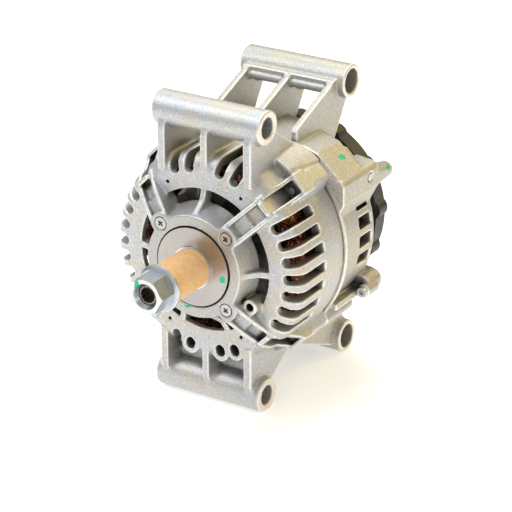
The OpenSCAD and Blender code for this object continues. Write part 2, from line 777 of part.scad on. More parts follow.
module claw_pole_rear() {
  color("dimgray") translate([0, rotor_rear_y, 0]) mirror([0, 1, 0])
    rotate([0, 180 / pole_count, 0]) claw_half();
}

bobbin_y0 = rotor_front_y + 13.2;
bobbin_y1 = rotor_rear_y - 13.2;
bobbin_r = rotor_r - 13;

module coil_bobbin() {
  color("ivory") turned() polygon([
    [core_shaft_r + 0.1, bobbin_y0], [bobbin_r, bobbin_y0], [bobbin_r, bobbin_y0 + 1.5],
    [core_shaft_r + 1.8, bobbin_y0 + 1.5], [core_shaft_r + 1.8, bobbin_y1 - 1.5],
    [bobbin_r, bobbin_y1 - 1.5], [bobbin_r, bobbin_y1], [core_shaft_r + 0.1, bobbin_y1]
  ]);
}

module field_coil() {
  color("peru") turned() translate([core_shaft_r + 2, bobbin_y0 + 1.7])
    square([bobbin_r - core_shaft_r - 2.6, bobbin_y1 - bobbin_y0 - 3.4]);
}

// Fan disc with upright blades towards the front
module fan(depth) {
  difference() {
    union() {
      rod_y(depth - fan_plate_t, depth, fan_r - 8);
      for (i = [0:blade_count - 1]) at_angle(i * 360 / blade_count) {
        translate([fan_r - 24, 0, 0]) rotate([0, 28, 0]) translate([0, 0, -0.9])
          cube([25, depth - 0.5, 1.8]);
      }
    }
    rod_y(-1, depth + 1, core_shaft_r + fit);
  }
}

module front_fan() {
  color("gray") translate([0, rotor_front_y - fan_depth - 0.2, 0]) fan(fan_depth);
}

module rear_fan() {
  color("gray") translate([0, rotor_rear_y + rear_fan_depth + 0.2, 0]) mirror([0, 1, 0])
    fan(rear_fan_depth);
}

// Slip rings, brushes and brush holder behind the rear bearing
ring_y0 = rear_brg_y + rear_brg_w + 3;
ring_y1 = ring_y0 + ring_w + 3;
brush_w = 6;
brush_t = 5;
brush_gap = 0.1;
brush_clear = 0.15;
brush_z = ring_r + brush_gap;
spring_min_l = 11;
spring_l = spring_min_l + brush_travel;
holder_z0 = ring_r + 2;
holder_z1 = brush_z + brush_l + spring_l;
spring_pad = 0.2;

function ring_mid(i) = (i == 0 ? ring_y0 : ring_y1) + ring_w / 2;

module slip_rings() {
  color("orange") for (y = [ring_y0, ring_y1])
    turned() translate([ring_r - 1.2, y]) square([1.2, ring_w]);
}

module slip_ring_carrier() {
  color("maroon") turned() polygon([
    [ring_r - 2 + fit, ring_y0 - 2], [ring_r, ring_y0 - 2], [ring_r, ring_y0 - 0.1],
    [ring_r - 1.3, ring_y0 - 0.1], [ring_r - 1.3, ring_y0 + ring_w + 0.1], [ring_r, ring_y0 + ring_w + 0.1],
    [ring_r, ring_y1 - 0.1], [ring_r - 1.3, ring_y1 - 0.1], [ring_r - 1.3, ring_y1 + ring_w + 0.1],
    [ring_r, ring_y1 + ring_w + 0.1], [ring_r, ring_y1 + ring_w + 1.5],
    [ring_r - 2 + fit, ring_y1 + ring_w + 1.5]
  ]);
}

module brush(i) {
  translate([-brush_w / 2, ring_mid(i) - brush_t / 2, brush_z]) cube([brush_w, brush_t, brush_l]);
}

module brush_outer() {
  color("black") brush(1);
}

module brush_inner() {
  color("black") brush(0);
}

// Round wire swept along a helix, as one closed tube
module spring(y) {
  turns = 5;
  ring_steps = 12;
  sides = 6;
  wire_r = 0.35;
  coil_r = 1.9;
  z0 = brush_z + brush_l + spring_pad + wire_r;
  rise = spring_l - 2 * spring_pad - 2 * wire_r;
  n = turns * ring_steps;
  pts = [for (i = [0:n]) let (a = 360 * i / ring_steps) for (j = [0:sides - 1])
    let (b = 360 * j / sides, r = coil_r + wire_r * cos(b))
    [r * cos(a), y + r * sin(a), z0 + rise * i / n + wire_r * sin(b)]];
  side_faces = [for (i = [0:n - 1]) for (j = [0:sides - 1])
    [i * sides + j, (i + 1) * sides + j, (i + 1) * sides + (j + 1) % sides, i * sides + (j + 1) % sides]];
  start_cap = [[for (j = [0:sides - 1]) j]];
  end_cap = [[for (j = [sides - 1:-1:0]) n * sides + j]];
  polyhedron(points = pts, faces = concat(side_faces, start_cap, end_cap));
}

module brush_spring_outer() {
  color("silver") spring(ring_mid(1));
}

module brush_spring_inner() {
  color("silver") spring(ring_mid(0));
}

holder_y0 = ring_y0 - 1.5;
holder_y1 = ring_y1 + ring_w + 1.5;
holder_half_w = 9;

module brush_holder() {
  color("darkslategray") difference() {
    translate([-holder_half_w, holder_y0, holder_z0])
      cube([2 * holder_half_w, holder_y1 - holder_y0, holder_z1 + 2 - holder_z0]);
    for (i = [0, 1])
      translate([-brush_w / 2 - brush_clear, ring_mid(i) - brush_t / 2 - brush_clear, holder_z0 - 1])
        cube([brush_w + 2 * brush_clear, brush_t + 2 * brush_clear, holder_z1 + 1 - holder_z0]);
  }
}

reg_half_w = 22;
reg_z0 = holder_z1 + 2;
reg_z1 = reg_z0 + 18;
reg_post_x = post_r * cos(60);
reg_post_z = post_r * sin(60);
fin_count = 9;
ear_t = 3;

module regulator() {
  color("gray") difference() {
    union() {
      translate([-reg_half_w, neg_y, reg_z0]) cube([2 * reg_half_w, holder_y1 - neg_y - 4, reg_z1 - reg_z0]);
      for (i = [0:fin_count - 1])
        translate([-reg_half_w + 1 + i * (2 * reg_half_w - 3.2) / (fin_count - 1), holder_y1 - 4.1, reg_z0 + 1])
          cube([1.2, 4.1, reg_z1 - reg_z0 - 2]);
      translate([-reg_post_x - 5, neg_y, reg_post_z - 5]) cube([2 * reg_post_x + 10, ear_t, 10]);
    }
    for (x = [-reg_post_x, reg_post_x]) translate([x, 0, reg_post_z])
      rod_y(neg_y - 1, neg_y + 20, 2 + fit);
  }
}

module post_screw(y_top, y_tip) {
  rod_y(y_tip, y_top + eps, 2);
  difference() {
    rod_y(y_top, y_top + 2.6, 3.8);
    for (t = [0, 90]) rotate([0, t, 0]) translate([-2, y_top + 1.4, -0.5]) cube([4, 2, 1]);
  }
}

module regulator_screws() {
  color("lightsteelblue") for (x = [-reg_post_x, reg_post_x]) translate([x, 0, reg_post_z])
    post_screw(neg_y + ear_t, rear_y + 1);
}

sink_a0 = 165;
sink_a1 = 375;
sink_in_r = 28;
sink_out_r = 63.5;
board_in_r = 55;
lead_angles = [225, 285, 345];
lead_r = 62.5;
stud_angle = 180;
stud_circle_r = 46;
pos_diode_angles = [210, 240, 270, 300, 330, 360];
neg_diode_angles = [195, 225, 255, 285, 315, 345];
board_screws = [210, 240, 300, 330];

// Machined disc in front of the bearing, with a hub that reaches its inner ring
module cover_disc() {
  color("lightsteelblue") turned() polygon([
    [shaft_r + fit, -0.5], [disc_r, -0.5], [disc_r, lip_y - 1], [shaft_r + 3.5, lip_y - 1],
    [shaft_r + 3.5, front_brg_y - fit], [shaft_r + fit, front_brg_y - fit]
  ]);
}

module shoulder_ring() {
  color("whitesmoke") turned() translate([nose_r + fit, -0.5 - shoulder_t])
    square([sleeve_r + 1.25 - nose_r - fit, shoulder_t]);
}

module transit_sleeve() {
  color("burlywood") turned() translate([nose_r + 0.3, sleeve_y])
    square([sleeve_r - nose_r - 0.3, sleeve_l]);
}

module flange_nut() {
  color("lightsteelblue") difference() {
    union() {
      rod_y(nut_y + 1.5, sleeve_y, nut_flange_r);
      rod_y(nut_y, nut_y + 1.5, nut_flange_r - 2.5, nut_flange_r);
      intersection() {
        translate([0, nut_y - nut_h, 0]) rotate([-90, 0, 0])
          cylinder(h = nut_h + 1, r = nut_flats / 2 / cos(30), $fn = 6);
        turned() polygon([
          [0, nut_y - nut_h - 1], [nut_flats / 2 - 1.2, nut_y - nut_h - 1],
          [nut_flats / 2 + 3, nut_y - nut_h + 2], [nut_flats / 2 + 3, nut_y + 2], [0, nut_y + 2]
        ]);
      }
    }
    rod_y(nut_y - nut_h - 1, sleeve_y + 1, nose_r + fit);
    rod_y(nut_y - nut_h - 1, nut_y - nut_h + 4, nose_r + 2.6, nose_r);
  }
}

module negative_heat_sink() {
  color("silver") difference() {
    along_y(neg_y, neg_y + plate_sink_t) ring_sector(sink_in_r, sink_out_r, sink_a0, sink_a1);
    for (a = neg_diode_angles) at_angle(a, diode_circle_r) rod_y(neg_y - 1, neg_y + 9, diode_r);
    for (a = lead_angles) at_angle(a, lead_r) rod_y(neg_y - 1, neg_y + 9, 3.2);
    for (a = board_screws) at_angle(a, post_r) rod_y(neg_y - 1, neg_y + 9, 2 + fit);
  }
}

module positive_heat_sink() {
  color("silver") difference() {
    along_y(pos_y, pos_y + plate_sink_t) ring_sector(sink_in_r + 2, sink_out_r, sink_a0, sink_a1);
    for (a = pos_diode_angles) at_angle(a, diode_circle_r) rod_y(pos_y - 1, pos_y + 9, diode_r);
    for (a = board_screws) at_angle(a, post_r) rod_y(pos_y - 1, pos_y + 9, 4.6);
    at_angle(stud_angle, stud_circle_r) rod_y(pos_y - 1, pos_y + 9, 4 + fit);
  }
}

module diode(y0, y1, lead_y) {
  rod_y(y0, y1, diode_r);
  rod_y(min(y0, lead_y), max(y0, lead_y) + eps, 0.8);
}

module negative_diodes() {
  color("darkgray") for (a = neg_diode_angles) at_angle(a, diode_circle_r)
    diode(neg_y - 3, neg_y + plate_sink_t + 1, neg_y + plate_sink_t + 4);
}

module positive_diodes() {
  color("darkgray") for (a = pos_diode_angles) at_angle(a, diode_circle_r)
    diode(pos_y - 1.5, pos_y + plate_sink_t + 3, pos_y - 4);
}

// Insulating board between the rectifier plates, with spacer sleeves for its screws
module terminal_board() {
  board_y = neg_y + plate_sink_t;
  color("black") difference() {
    union() {
      along_y(board_y, pos_y) ring_sector(board_in_r - 1, sink_out_r, sink_a0, sink_a1);
      for (a = board_screws) at_angle(a, post_r) rod_y(pos_y - eps, pos_y + plate_sink_t + 1, 4.4);
    }
    for (a = board_screws) at_angle(a, post_r) rod_y(neg_y - 1, pos_y + 9, 2 + fit);
    for (a = lead_angles) at_angle(a, lead_r) rod_y(neg_y - 1, pos_y + 1, 1.6);
  }
}

module rectifier_screws() {
  color("lightsteelblue") for (a = board_screws) at_angle(a, post_r)
    post_screw(pos_y + plate_sink_t + 1, rear_y + 1);
}

module phase_leads() {
  color("sienna") for (a = lead_angles) at_angle(a, lead_r)
    rod_y(core_y + core_l + 0.3 + rear_winding_l, pos_y - 0.3, 1.5);
}

stud_y = cover_y + 18;
insulator_end = cover_y + 1.5;

module output_stud() {
  color("goldenrod") at_angle(stud_angle, stud_circle_r) {
    rod_y(pos_y - 3.2, stud_y, 4);
    rod_y(pos_y - 3.2, pos_y - 0.05, 7);
  }
}

module stud_insulator() {
  color("firebrick") at_angle(stud_angle, stud_circle_r) difference() {
    union() {
      rod_y(pos_y + plate_sink_t, insulator_end, 8);
      rod_y(cover_y + 0.1, insulator_end, 10);
    }
    rod_y(pos_y, cover_y + 9, 4 + fit);
  }
}

module stud_nut() {
  color("lightsteelblue") at_angle(stud_angle, stud_circle_r) difference() {
    translate([0, insulator_end, 0]) rotate([-90, 0, 0]) cylinder(h = 6.5, r = 6.5 / cos(30), $fn = 6);
    rod_y(cover_y, stud_y + 1, 4 + fit);
  }
}

socket_x = 12;
socket_w = 20;
socket_z = reg_z0 + 1;
socket_h = 13;
socket_end = cover_y + 8;

module connector_socket() {
  color("black") difference() {
    translate([socket_x, holder_y1, socket_z]) cube([socket_w, socket_end - holder_y1, socket_h]);
    translate([socket_x + 1.5, holder_y1 + 3, socket_z + 1.5])
      cube([socket_w - 3, socket_end - holder_y1, socket_h - 3]);
  }
}

module connector_pins() {
  color("gold") for (i = [0:2]) translate([socket_x + 4 + i * 5, holder_y1 + 3, socket_z + socket_h / 2 - 0.4])
    cube([1.6, socket_end - holder_y1 - 5, 0.8]);
}

module rear_cover() {
  scallops = 12;
  color("black") difference() {
    union() {
      difference() {
        union() {
          rod_y(cover_y - cover_rim, cover_y, cover_r);
          for (i = [0:scallops - 1]) at_angle(5 + i * 360 / scallops, cover_r - 5)
            rod_y(cover_y - cover_rim + 0.5, cover_y - 1.5, 8.5);
        }
        rod_y(cover_y - cover_rim - 1, cover_y - cover_wall, cover_r - cover_wall);
      }
      for (a = cover_bosses) at_angle(a, cover_boss_r) rod_y(rear_y, cover_y - 1, 5);
    }
    for (a = cover_bosses) at_angle(a, cover_boss_r) {
      rod_y(rear_y - 1, cover_y + 1, 2 + fit);
      rod_y(cover_y - 4, cover_y + 1, 4.4);
    }
    for (i = [0, 4, 7, 8, 9, 10, 11]) at_angle(15 + 30 * i) along_y(cover_y - cover_wall - 1, cover_y + 1) {
        slot_profile(26, 52, 6);
        translate([52, 0]) circle(d = 6);
      }
    rod_y(cover_y - cover_wall - 1, cover_y + 1, ring_r + 6);
    at_angle(stud_angle, stud_circle_r) rod_y(cover_y - 9, cover_y + 1, 8.3);
    translate([socket_x - 0.3, cover_y - 9, socket_z - 0.3]) cube([socket_w + 0.6, 12, socket_h + 0.6]);
  }
}

module cover_screws() {
  color("lightsteelblue") for (a = cover_bosses) at_angle(a, cover_boss_r)
    post_screw(cover_y - 4, rear_y - 10);
}

module lug_pin() {
  color("lightgray") translate([0, lug_pin_y, lug_pin_z]) rod_x(lug_x - 12, lug_x - 0.4, 3.2);
}

module lug_screw() {
  color("lightsteelblue") translate([lug_screw_x, 0, lug_screw_z]) {
    rod_y(lug_screw_y - eps, lug_screw_y + 14, 2.5);
    difference() {
      rod_y(lug_screw_y - 3, lug_screw_y, 4.2);
      translate([0, lug_screw_y - 4, 0]) rotate([-90, 0, 0]) cylinder(h = 2.5, r = 2.3, $fn = 6);
    }
  }
}

front_housing();
rear_housing();
bearing_retainer();
retainer_screws();
through_bolts();
front_bearing_outer();
front_bearing_inner();
front_bearing_balls();
rear_bearing_outer();
rear_bearing_inner();
rear_bearing_balls();
stator_core();
stator_windings();
shaft();
claw_pole_front();
claw_pole_rear();
field_coil();
coil_bobbin();
front_fan();
rear_fan();
slip_rings();
slip_ring_carrier();
cover_disc();
shoulder_ring();
transit_sleeve();
flange_nut();
negative_heat_sink();
positive_heat_sink();
negative_diodes();
positive_diodes();
terminal_board();
phase_leads();
output_stud();
stud_insulator();
stud_nut();
brush_holder();
regulator();
regulator_screws();
brush_outer();
brush_inner();
brush_spring_outer();
brush_spring_inner();
connector_socket();
connector_pins();
rear_cover();
cover_screws();
rectifier_screws();
lug_pin();
lug_screw();
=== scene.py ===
"""Looks of a heavy-duty engine alternator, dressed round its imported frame.

The frame gives every solid in metres: +Y runs from the drive end to the rear cover, +Z is up and
+X is to the right seen from the drive end. The origin is on the shaft axis at the front hub face.
"""
from __future__ import annotations

import logging
import math
import random
from collections.abc import Mapping, Sequence
from dataclasses import dataclass, field
from enum import Enum

import bpy
from mathutils import Matrix, Vector
from mathutils.bvhtree import BVHTree


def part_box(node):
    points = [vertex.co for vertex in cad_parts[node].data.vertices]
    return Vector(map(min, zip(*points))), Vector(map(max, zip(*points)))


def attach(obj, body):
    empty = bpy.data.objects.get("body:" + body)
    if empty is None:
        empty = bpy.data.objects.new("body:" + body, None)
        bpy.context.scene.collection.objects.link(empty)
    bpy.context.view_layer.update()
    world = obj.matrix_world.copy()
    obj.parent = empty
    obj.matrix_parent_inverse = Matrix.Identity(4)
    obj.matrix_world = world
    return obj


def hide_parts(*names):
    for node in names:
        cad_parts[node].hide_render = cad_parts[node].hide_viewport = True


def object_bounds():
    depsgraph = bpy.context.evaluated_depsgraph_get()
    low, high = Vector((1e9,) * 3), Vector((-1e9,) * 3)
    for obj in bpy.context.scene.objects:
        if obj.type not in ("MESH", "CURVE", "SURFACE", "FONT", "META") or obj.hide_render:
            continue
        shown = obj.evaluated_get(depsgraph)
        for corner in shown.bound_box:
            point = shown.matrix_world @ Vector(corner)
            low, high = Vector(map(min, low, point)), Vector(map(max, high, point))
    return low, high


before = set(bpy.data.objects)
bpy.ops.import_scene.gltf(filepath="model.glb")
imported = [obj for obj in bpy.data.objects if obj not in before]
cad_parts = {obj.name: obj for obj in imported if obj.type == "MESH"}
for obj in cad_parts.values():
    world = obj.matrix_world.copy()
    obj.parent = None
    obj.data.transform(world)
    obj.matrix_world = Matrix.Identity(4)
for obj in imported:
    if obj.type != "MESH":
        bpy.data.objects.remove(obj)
CAD_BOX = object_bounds()

LOG = logging.getLogger("alternator")
MM = 0.001
WAVE_FACTOR = 20
SENSOR_MM = 36.0
PICTURE_PX = 512
Colour = tuple[float, float, float]
Point = tuple[float, float, float]
Socket = bpy.types.NodeSocket
Value = float | tuple[float, ...] | Socket


class Body(Enum):
    """The rigid bodies that pieces ride on."""

    HOUSING = "housing"
    ROTOR = "rotor"


class End(Enum):
    """The two ends of the machine, as the sign of the outward direction along the shaft."""

    DRIVE = -1
    REAR = 1


def rgba(colour: Colour) -> tuple[float, float, float, float]:
    """Returns a colour with full alpha."""
    return (*colour, 1.0)


class NodeGraph:
    """A material with its node tree and short calls for the nodes used here."""

    def __init__(self, name: str) -> None:
        """Makes the material.

        Args:
            name: The material's name.
        """
        self.material = bpy.data.materials.new(name)
        self.material.use_nodes = True
        self.tree = self.material.node_tree
        self.shader = self.tree.nodes["Principled BSDF"]
        self.position: Socket = self.node("ShaderNodeTexCoord").outputs["Object"]

    def node(self, kind: str, inputs: Mapping[str | int, Value] | None = None,
             **settings: object) -> bpy.types.Node:
        """Adds a node.

        Args:
            kind: The node's Blender type.
            inputs: Values or sockets for its inputs, by name or number.
            **settings: Properties of the node itself.

        Returns:
            The new node.
        """
        node = self.tree.nodes.new(kind)
        for key, setting in settings.items():
            setattr(node, key, setting)
        for key, value in (inputs or {}).items():
            if isinstance(value, bpy.types.NodeSocket):
                self.tree.links.new(value, node.inputs[key])
            else:
                node.inputs[key].default_value = value
        return node

    def set(self, **values: Value) -> None:
        """Sets the shader's inputs, with an underscore for each space in a name."""
        for key, value in values.items():
            socket = self.shader.inputs[key.replace("_", " ")]
            if isinstance(value, bpy.types.NodeSocket):
                self.tree.links.new(value, socket)
            else:
                socket.default_value = value

    def noise(self, size_mm: float, detail: float = 3.0, rough: float = 0.55,
              vector: Socket | None = None) -> Socket:
        """Returns a noise whose grains are about size_mm across."""
        return self.node("ShaderNodeTexNoise", {
            "Vector": vector or self.position, "Scale": 1.0 / (size_mm * MM), "Detail": detail,
            "Roughness": rough}).outputs[0]

    def remap(self, value: Socket, low: float, high: float, to_low: float = 0.0,
              to_high: float = 1.0) -> Socket:
        """Returns a value moved smoothly from one range to another and held inside it."""
        return self.node("ShaderNodeMapRange", {
            0: value, 1: low, 2: high, 3: to_low, 4: to_high},
            interpolation_type="SMOOTHSTEP").outputs[0]

    def math(self, operation: str, first: Value, second: Value = 0.0) -> Socket:
        """Returns the result of one maths operation."""
        return self.node("ShaderNodeMath", {0: first, 1: second}, operation=operation).outputs[0]

    def mix(self, factor: Value, first: Value, second: Value) -> Socket:
        """Returns a mix of two colours."""
        node = self.node("ShaderNodeMix", {"Factor": factor}, data_type="RGBA")
        for number, value in ((6, first), (7, second)):
            if isinstance(value, bpy.types.NodeSocket):
                self.tree.links.new(value, node.inputs[number])
            else:
                node.inputs[number].default_value = value
        return node.outputs[2]

    def tint(self, base: Value, colour: Colour, value: Socket, low: float, high: float,
             most: float = 1.0) -> Socket:
        """Tints a colour as a value goes from one limit to another.

        Args:
            base: The colour to tint.
            colour: The colour that comes in.
            value: What decides where it comes in.
            low: The value up to which none of it shows.
            high: The value from which most of it shows, which may be below low.
            most: Its greatest share.

        Returns:
            The tinted colour.
        """
        return self.mix(self.remap(value, low, high, 0.0, most), base, rgba(colour))

    def pointiness(self) -> Socket:
        """Returns how convex the surface is, with 0.5 for flat."""
        return self.node("ShaderNodeNewGeometry").outputs["Pointiness"]

    def wave(self, pitch_mm: float, distortion: float = 0.0, **settings: object) -> Socket:
        """Returns a wave that repeats every pitch_mm."""
        return self.node("ShaderNodeTexWave", {
            "Vector": self.position, "Scale": math.tau / (WAVE_FACTOR * pitch_mm * MM),
            "Distortion": distortion}, **settings).outputs[1]

    def axis(self, name: str) -> Socket:
        """Returns one coordinate of the point, in metres."""
        return self.node("ShaderNodeSeparateXYZ", {0: self.position}).outputs[name]

    def stretched(self, x: float, y: float, z: float) -> Socket:
        """Returns the position scaled on each axis, for grain that runs one way."""
        return self.node("ShaderNodeMapping", {
            "Vector": self.position, "Scale": (x, y, z)}).outputs[0]

    def bump(self, height: Socket, strength: float, depth_mm: float,
             normal: Socket | None = None) -> Socket:
        """Returns a normal roughened by a height."""
        inputs: dict[str | int, Value] = {
            "Height": height, "Strength": strength, "Distance": depth_mm * MM}
        if normal is not None:
            inputs["Normal"] = normal
        return self.node("ShaderNodeBump", inputs).outputs[0]


@dataclass(frozen=True)
class Finish:
    """A surface finish that builds its own material."""

    name: str

    def build(self) -> bpy.types.Material:
        """Builds the material."""
        raise NotImplementedError


@dataclass(frozen=True)
class CastAluminium(Finish):
    """Blasted aluminium casting with milled end faces, bright edges with a painted highlight,
    painted glints, and painted shade in corners and pockets.

    Attributes:
        cool: Colour of the blasted skin.
        warm: Colour of the patches the blasting left smoother.
        edge: Colour of edges rubbed bright with a painted highlight along them, and of the
            painted glints in the specks and the light pits.
        hollow: Colour of the painted shade down in corners, and of the dark grain and pits.
        pocket_shade_colour: Colour of the painted shade deep in pockets.
        milled: Colour of milled faces.
        hub: Colour of the machined hub face.
        milled_x: Distance from the middle plane past which the tube ends are milled, in mm.
        tube_z: Height or depth past which only the tubes are left, in mm.
        split_y: Plane where the housings meet, in mm.
        seam_share: How much of the milled colour shows along that plane.
        hub_share: How much of the hub's colour shows on its face.
        pocket_shade_mm: How near the walls of a pocket have to be for the painted shade to fall
            there, in mm.
        mottle_mm: Size of the warm patches.
        speck_mm: Size of the bright specks, which are painted glints.
        grain_mm: Size of the fine grain.
        shot_mm: Size of the pits that the blasting left.
        wave_mm: Size of the casting's shallow waves.
    """

    cool: Colour = (0.55, 0.565, 0.605)
    warm: Colour = (0.59, 0.565, 0.52)
    edge: Colour = (0.90, 0.90, 0.89)
    hollow: Colour = (0.14, 0.14, 0.13)
    pocket_shade_colour: Colour = (0.02, 0.02, 0.022)
    milled: Colour = (0.84, 0.75, 0.68)
    hub: Colour = (0.42, 0.42, 0.415)
    milled_x: float = 48.6
    tube_z: float = 96.0
    split_y: float = 84.0
    seam_share: float = 0.25
    hub_share: float = 0.85
    pocket_shade_mm: float = 24.0
    mottle_mm: float = 26.0
    speck_mm: float = 2.2
    grain_mm: float = 0.55
    shot_mm: float = 1.5
    wave_mm: float = 3.5

    def blasted(self, graph: NodeGraph) -> Socket:
        """Returns the colour of the mottled skin, with painted glints in specks, edges rubbed
        bright with a painted highlight along them, and painted shade in corners.
        """
        skin = graph.tint(rgba(self.cool), self.warm, graph.noise(self.mottle_mm, 4), 0.4, 0.62)
        # Painted glints: bright specks scattered over the blasted skin.
        skin = graph.tint(skin, self.edge, graph.noise(self.speck_mm, 2), 0.66, 0.74, 0.6)
        point = graph.pointiness()
        # Convex edges: rubbed bright, with a painted highlight along them.
        skin = graph.tint(skin, self.edge, point, 0.506, 0.545)
        # Painted shade in concave corners.
        return graph.tint(skin, self.hollow, point, 0.49, 0.44, 0.75)

    def machined(self, graph: NodeGraph, height: Socket) -> tuple[Socket, Socket]:
        """Returns where the casting is milled, and where it is the hub's face."""
        across = graph.math("ABSOLUTE", graph.axis("X"))
        ends = graph.math("MULTIPLY", graph.remap(
            across, self.milled_x * MM, (self.milled_x + 0.3) * MM), graph.remap(
            height, self.tube_z * MM, (self.tube_z + 2) * MM))
        along = graph.axis("Y")
        seam = graph.remap(graph.math("ABSOLUTE", graph.math(
            "SUBTRACT", along, self.split_y * MM)), 1.3 * MM, 0.5 * MM)
        milled = graph.math("MAXIMUM", ends, graph.math("MULTIPLY", seam, self.seam_share))
        return milled, graph.remap(along, 0.35 * MM, 0.05 * MM)

    def pockets(self, graph: NodeGraph, height: Socket) -> Socket:
        """Returns where the painted shade falls, which is in deep pockets but not in the tubes.
        """
        nearby = graph.node("ShaderNodeAmbientOcclusion", {"Distance": self.pocket_shade_mm * MM},
                            samples=12).outputs["AO"]
        return graph.math("MULTIPLY", graph.remap(nearby, 0.62, 0.12, 0.0, 0.95), graph.remap(
            height, (self.tube_z - 2) * MM, (self.tube_z - 6) * MM))

    def build(self) -> bpy.types.Material:
        """Builds the material.

        Returns:
            A material with grain, mottling, bright edges and milled faces.
        """
        graph = NodeGraph(self.name)
        height = graph.math("ABSOLUTE", graph.axis("Z"))
        milled, hub = self.machined(graph, height)
        skin = graph.mix(milled, self.blasted(graph), rgba(self.milled))
        skin = graph.mix(graph.math("MULTIPLY", hub, self.hub_share), skin, rgba(self.hub))
        grain = graph.noise(self.grain_mm, 3, 0.7)
        skin = graph.tint(skin, self.hollow, grain, 0.5, 0.7, 0.3)
        shot = graph.noise(self.shot_mm, 2, 0.7)
        skin = graph.tint(skin, self.edge, shot, 0.54, 0.72, 0.4)
        skin = graph.tint(skin, self.hollow, shot, 0.46, 0.3, 0.3)
        # Painted shade: ambient occlusion darkens the skin to near-black deep in pockets.
        skin = graph.mix(self.pockets(graph, height), skin, rgba(self.pocket_shade_colour))
        smooth = graph.math("MAXIMUM", milled, hub)
        rough = graph.remap(graph.math("ADD", grain, graph.math(
            "MULTIPLY", smooth, -0.6)), 0.0, 0.9, 0.4, 0.62)
        relief = graph.math("MULTIPLY", grain, graph.remap(smooth, 0.0, 1.0, 1.0, 0.12))
        waves = graph.noise(self.wave_mm, 2)
        normal = graph.bump(waves, 0.25, 0.35, graph.bump(relief, 0.8, 0.14))
        graph.set(Base_Color=skin, Metallic=0.82, Roughness=rough, Normal=normal)
        return graph.material


@dataclass(frozen=True)
class TurnedMetal(Finish):
    """Metal turned in a lathe, with fine rings and a sheen that fans out from the axis.

    Attributes:
        light: Colour of the ring tops.
        dark: Colour of the grooves.
        rough: Roughness.
        pitch_mm: Distance from one ring to the next.
        sheen: How far the highlight stretches round the axis.
        stain_mm: Size of the stains.
    """

    light: Colour = (0.48, 0.465, 0.465)
    dark: Colour = (0.34, 0.30, 0.28)
    rough: float = 0.3
    pitch_mm: float = 0.8
    sheen: float = 0.75
    stain_mm: float = 9.0

    def build(self) -> bpy.types.Material:
        """Builds the material.

        Returns:
            A material with rings about the shaft axis.
        """
        graph = NodeGraph(self.name)
        rings = graph.wave(self.pitch_mm, 0.4, wave_type="RINGS", rings_direction="Y")
        colour = graph.mix(graph.remap(rings, 0.1, 0.9, 0.35, 0.8), rgba(self.dark),
                           rgba(self.light))
        colour = graph.tint(colour, self.dark, graph.noise(self.stain_mm, 4), 0.45, 0.75, 0.4)
        tangent = graph.node("ShaderNodeTangent", direction_type="RADIAL", axis="Y").outputs[0]
        graph.set(Base_Color=colour, Metallic=1.0, Roughness=self.rough, Anisotropic=self.sheen,
                  Anisotropic_Rotation=0.25, Tangent=tangent,
                  Normal=graph.bump(rings, 0.2, 0.03))
        return graph.material


@dataclass(frozen=True)
class PlatedSteel(Finish):
    """Steel with a thin plating, a little cloudy.

    Attributes:
        colour: Colour of the plating.
        cloud: Colour of its cloudier patches.
        rubbed: Colour of its edges.
        rough: Roughness of the clear patches.
        grain_mm: Size of the fine grain.
        patch_mm: Size of the patches.
    """

    colour: Colour = (0.47, 0.51, 0.57)
    cloud: Colour = (0.40, 0.44, 0.49)
    rubbed: Colour = (0.9, 0.9, 0.9)
    rough: float = 0.34
    grain_mm: float = 0.6
    patch_mm: float = 7.0

    def build(self) -> bpy.types.Material:
        """Builds the material.

        Returns:
            A metal with cloudy patches and a fine grain.
        """
        graph = NodeGraph(self.name)
        patches = graph.remap(graph.noise(self.patch_mm, 4, 0.5), 0.4, 0.7, 0.0, 0.5)
        grain = graph.noise(self.grain_mm, 2)
        colour = graph.mix(patches, rgba(self.colour), rgba(self.cloud))
        colour = graph.tint(colour, self.rubbed, graph.pointiness(), 0.51, 0.58, 0.5)
        graph.set(Base_Color=colour, Metallic=1.0,
                  Roughness=graph.remap(patches, 0.0, 1.0, self.rough, self.rough + 0.1),
                  Normal=graph.bump(grain, 0.3, 0.04))
        return graph.material


@dataclass(frozen=True)
class PaperTube(Finish):
    """Wound paper tube with fibres and a spiral seam.

    Attributes:
        light: Colour of the paper.
        dark: Colour of its fibres and of its seam.
        pale: Colour of its paler patches.
        fibre_mm: Width of the fibres.
        patch_mm: Size of the patches.
    """

    light: Colour = (0.88, 0.54, 0.25)
    dark: Colour = (0.64, 0.36, 0.15)
    pale: Colour = (0.92, 0.64, 0.37)
    fibre_mm: float = 1.1
    patch_mm: float = 12.0

    def build(self) -> bpy.types.Material:
        """Builds the material.

        Returns:
            A matt paper with fibres along the tube.
        """
        graph = NodeGraph(self.name)
        fibres = graph.noise(self.fibre_mm, 5, 0.7, graph.stretched(1.0, 0.22, 1.0))
        seam = graph.node("ShaderNodeTexWave", {
            "Vector": graph.stretched(0.0, 1.0, 0.35), "Scale": 3.2, "Distortion": 0.3},
            bands_direction="Y").outputs[1]
        colour = graph.tint(rgba(self.light), self.dark, fibres, 0.36, 0.72, 0.8)
        colour = graph.tint(colour, self.pale, graph.noise(self.patch_mm, 3), 0.4, 0.75, 0.35)
        colour = graph.tint(colour, self.dark, seam, 0.985, 1.0, 0.45)
        graph.set(Base_Color=colour, Roughness=0.78, Normal=graph.bump(fibres, 0.5, 0.12))
        return graph.material


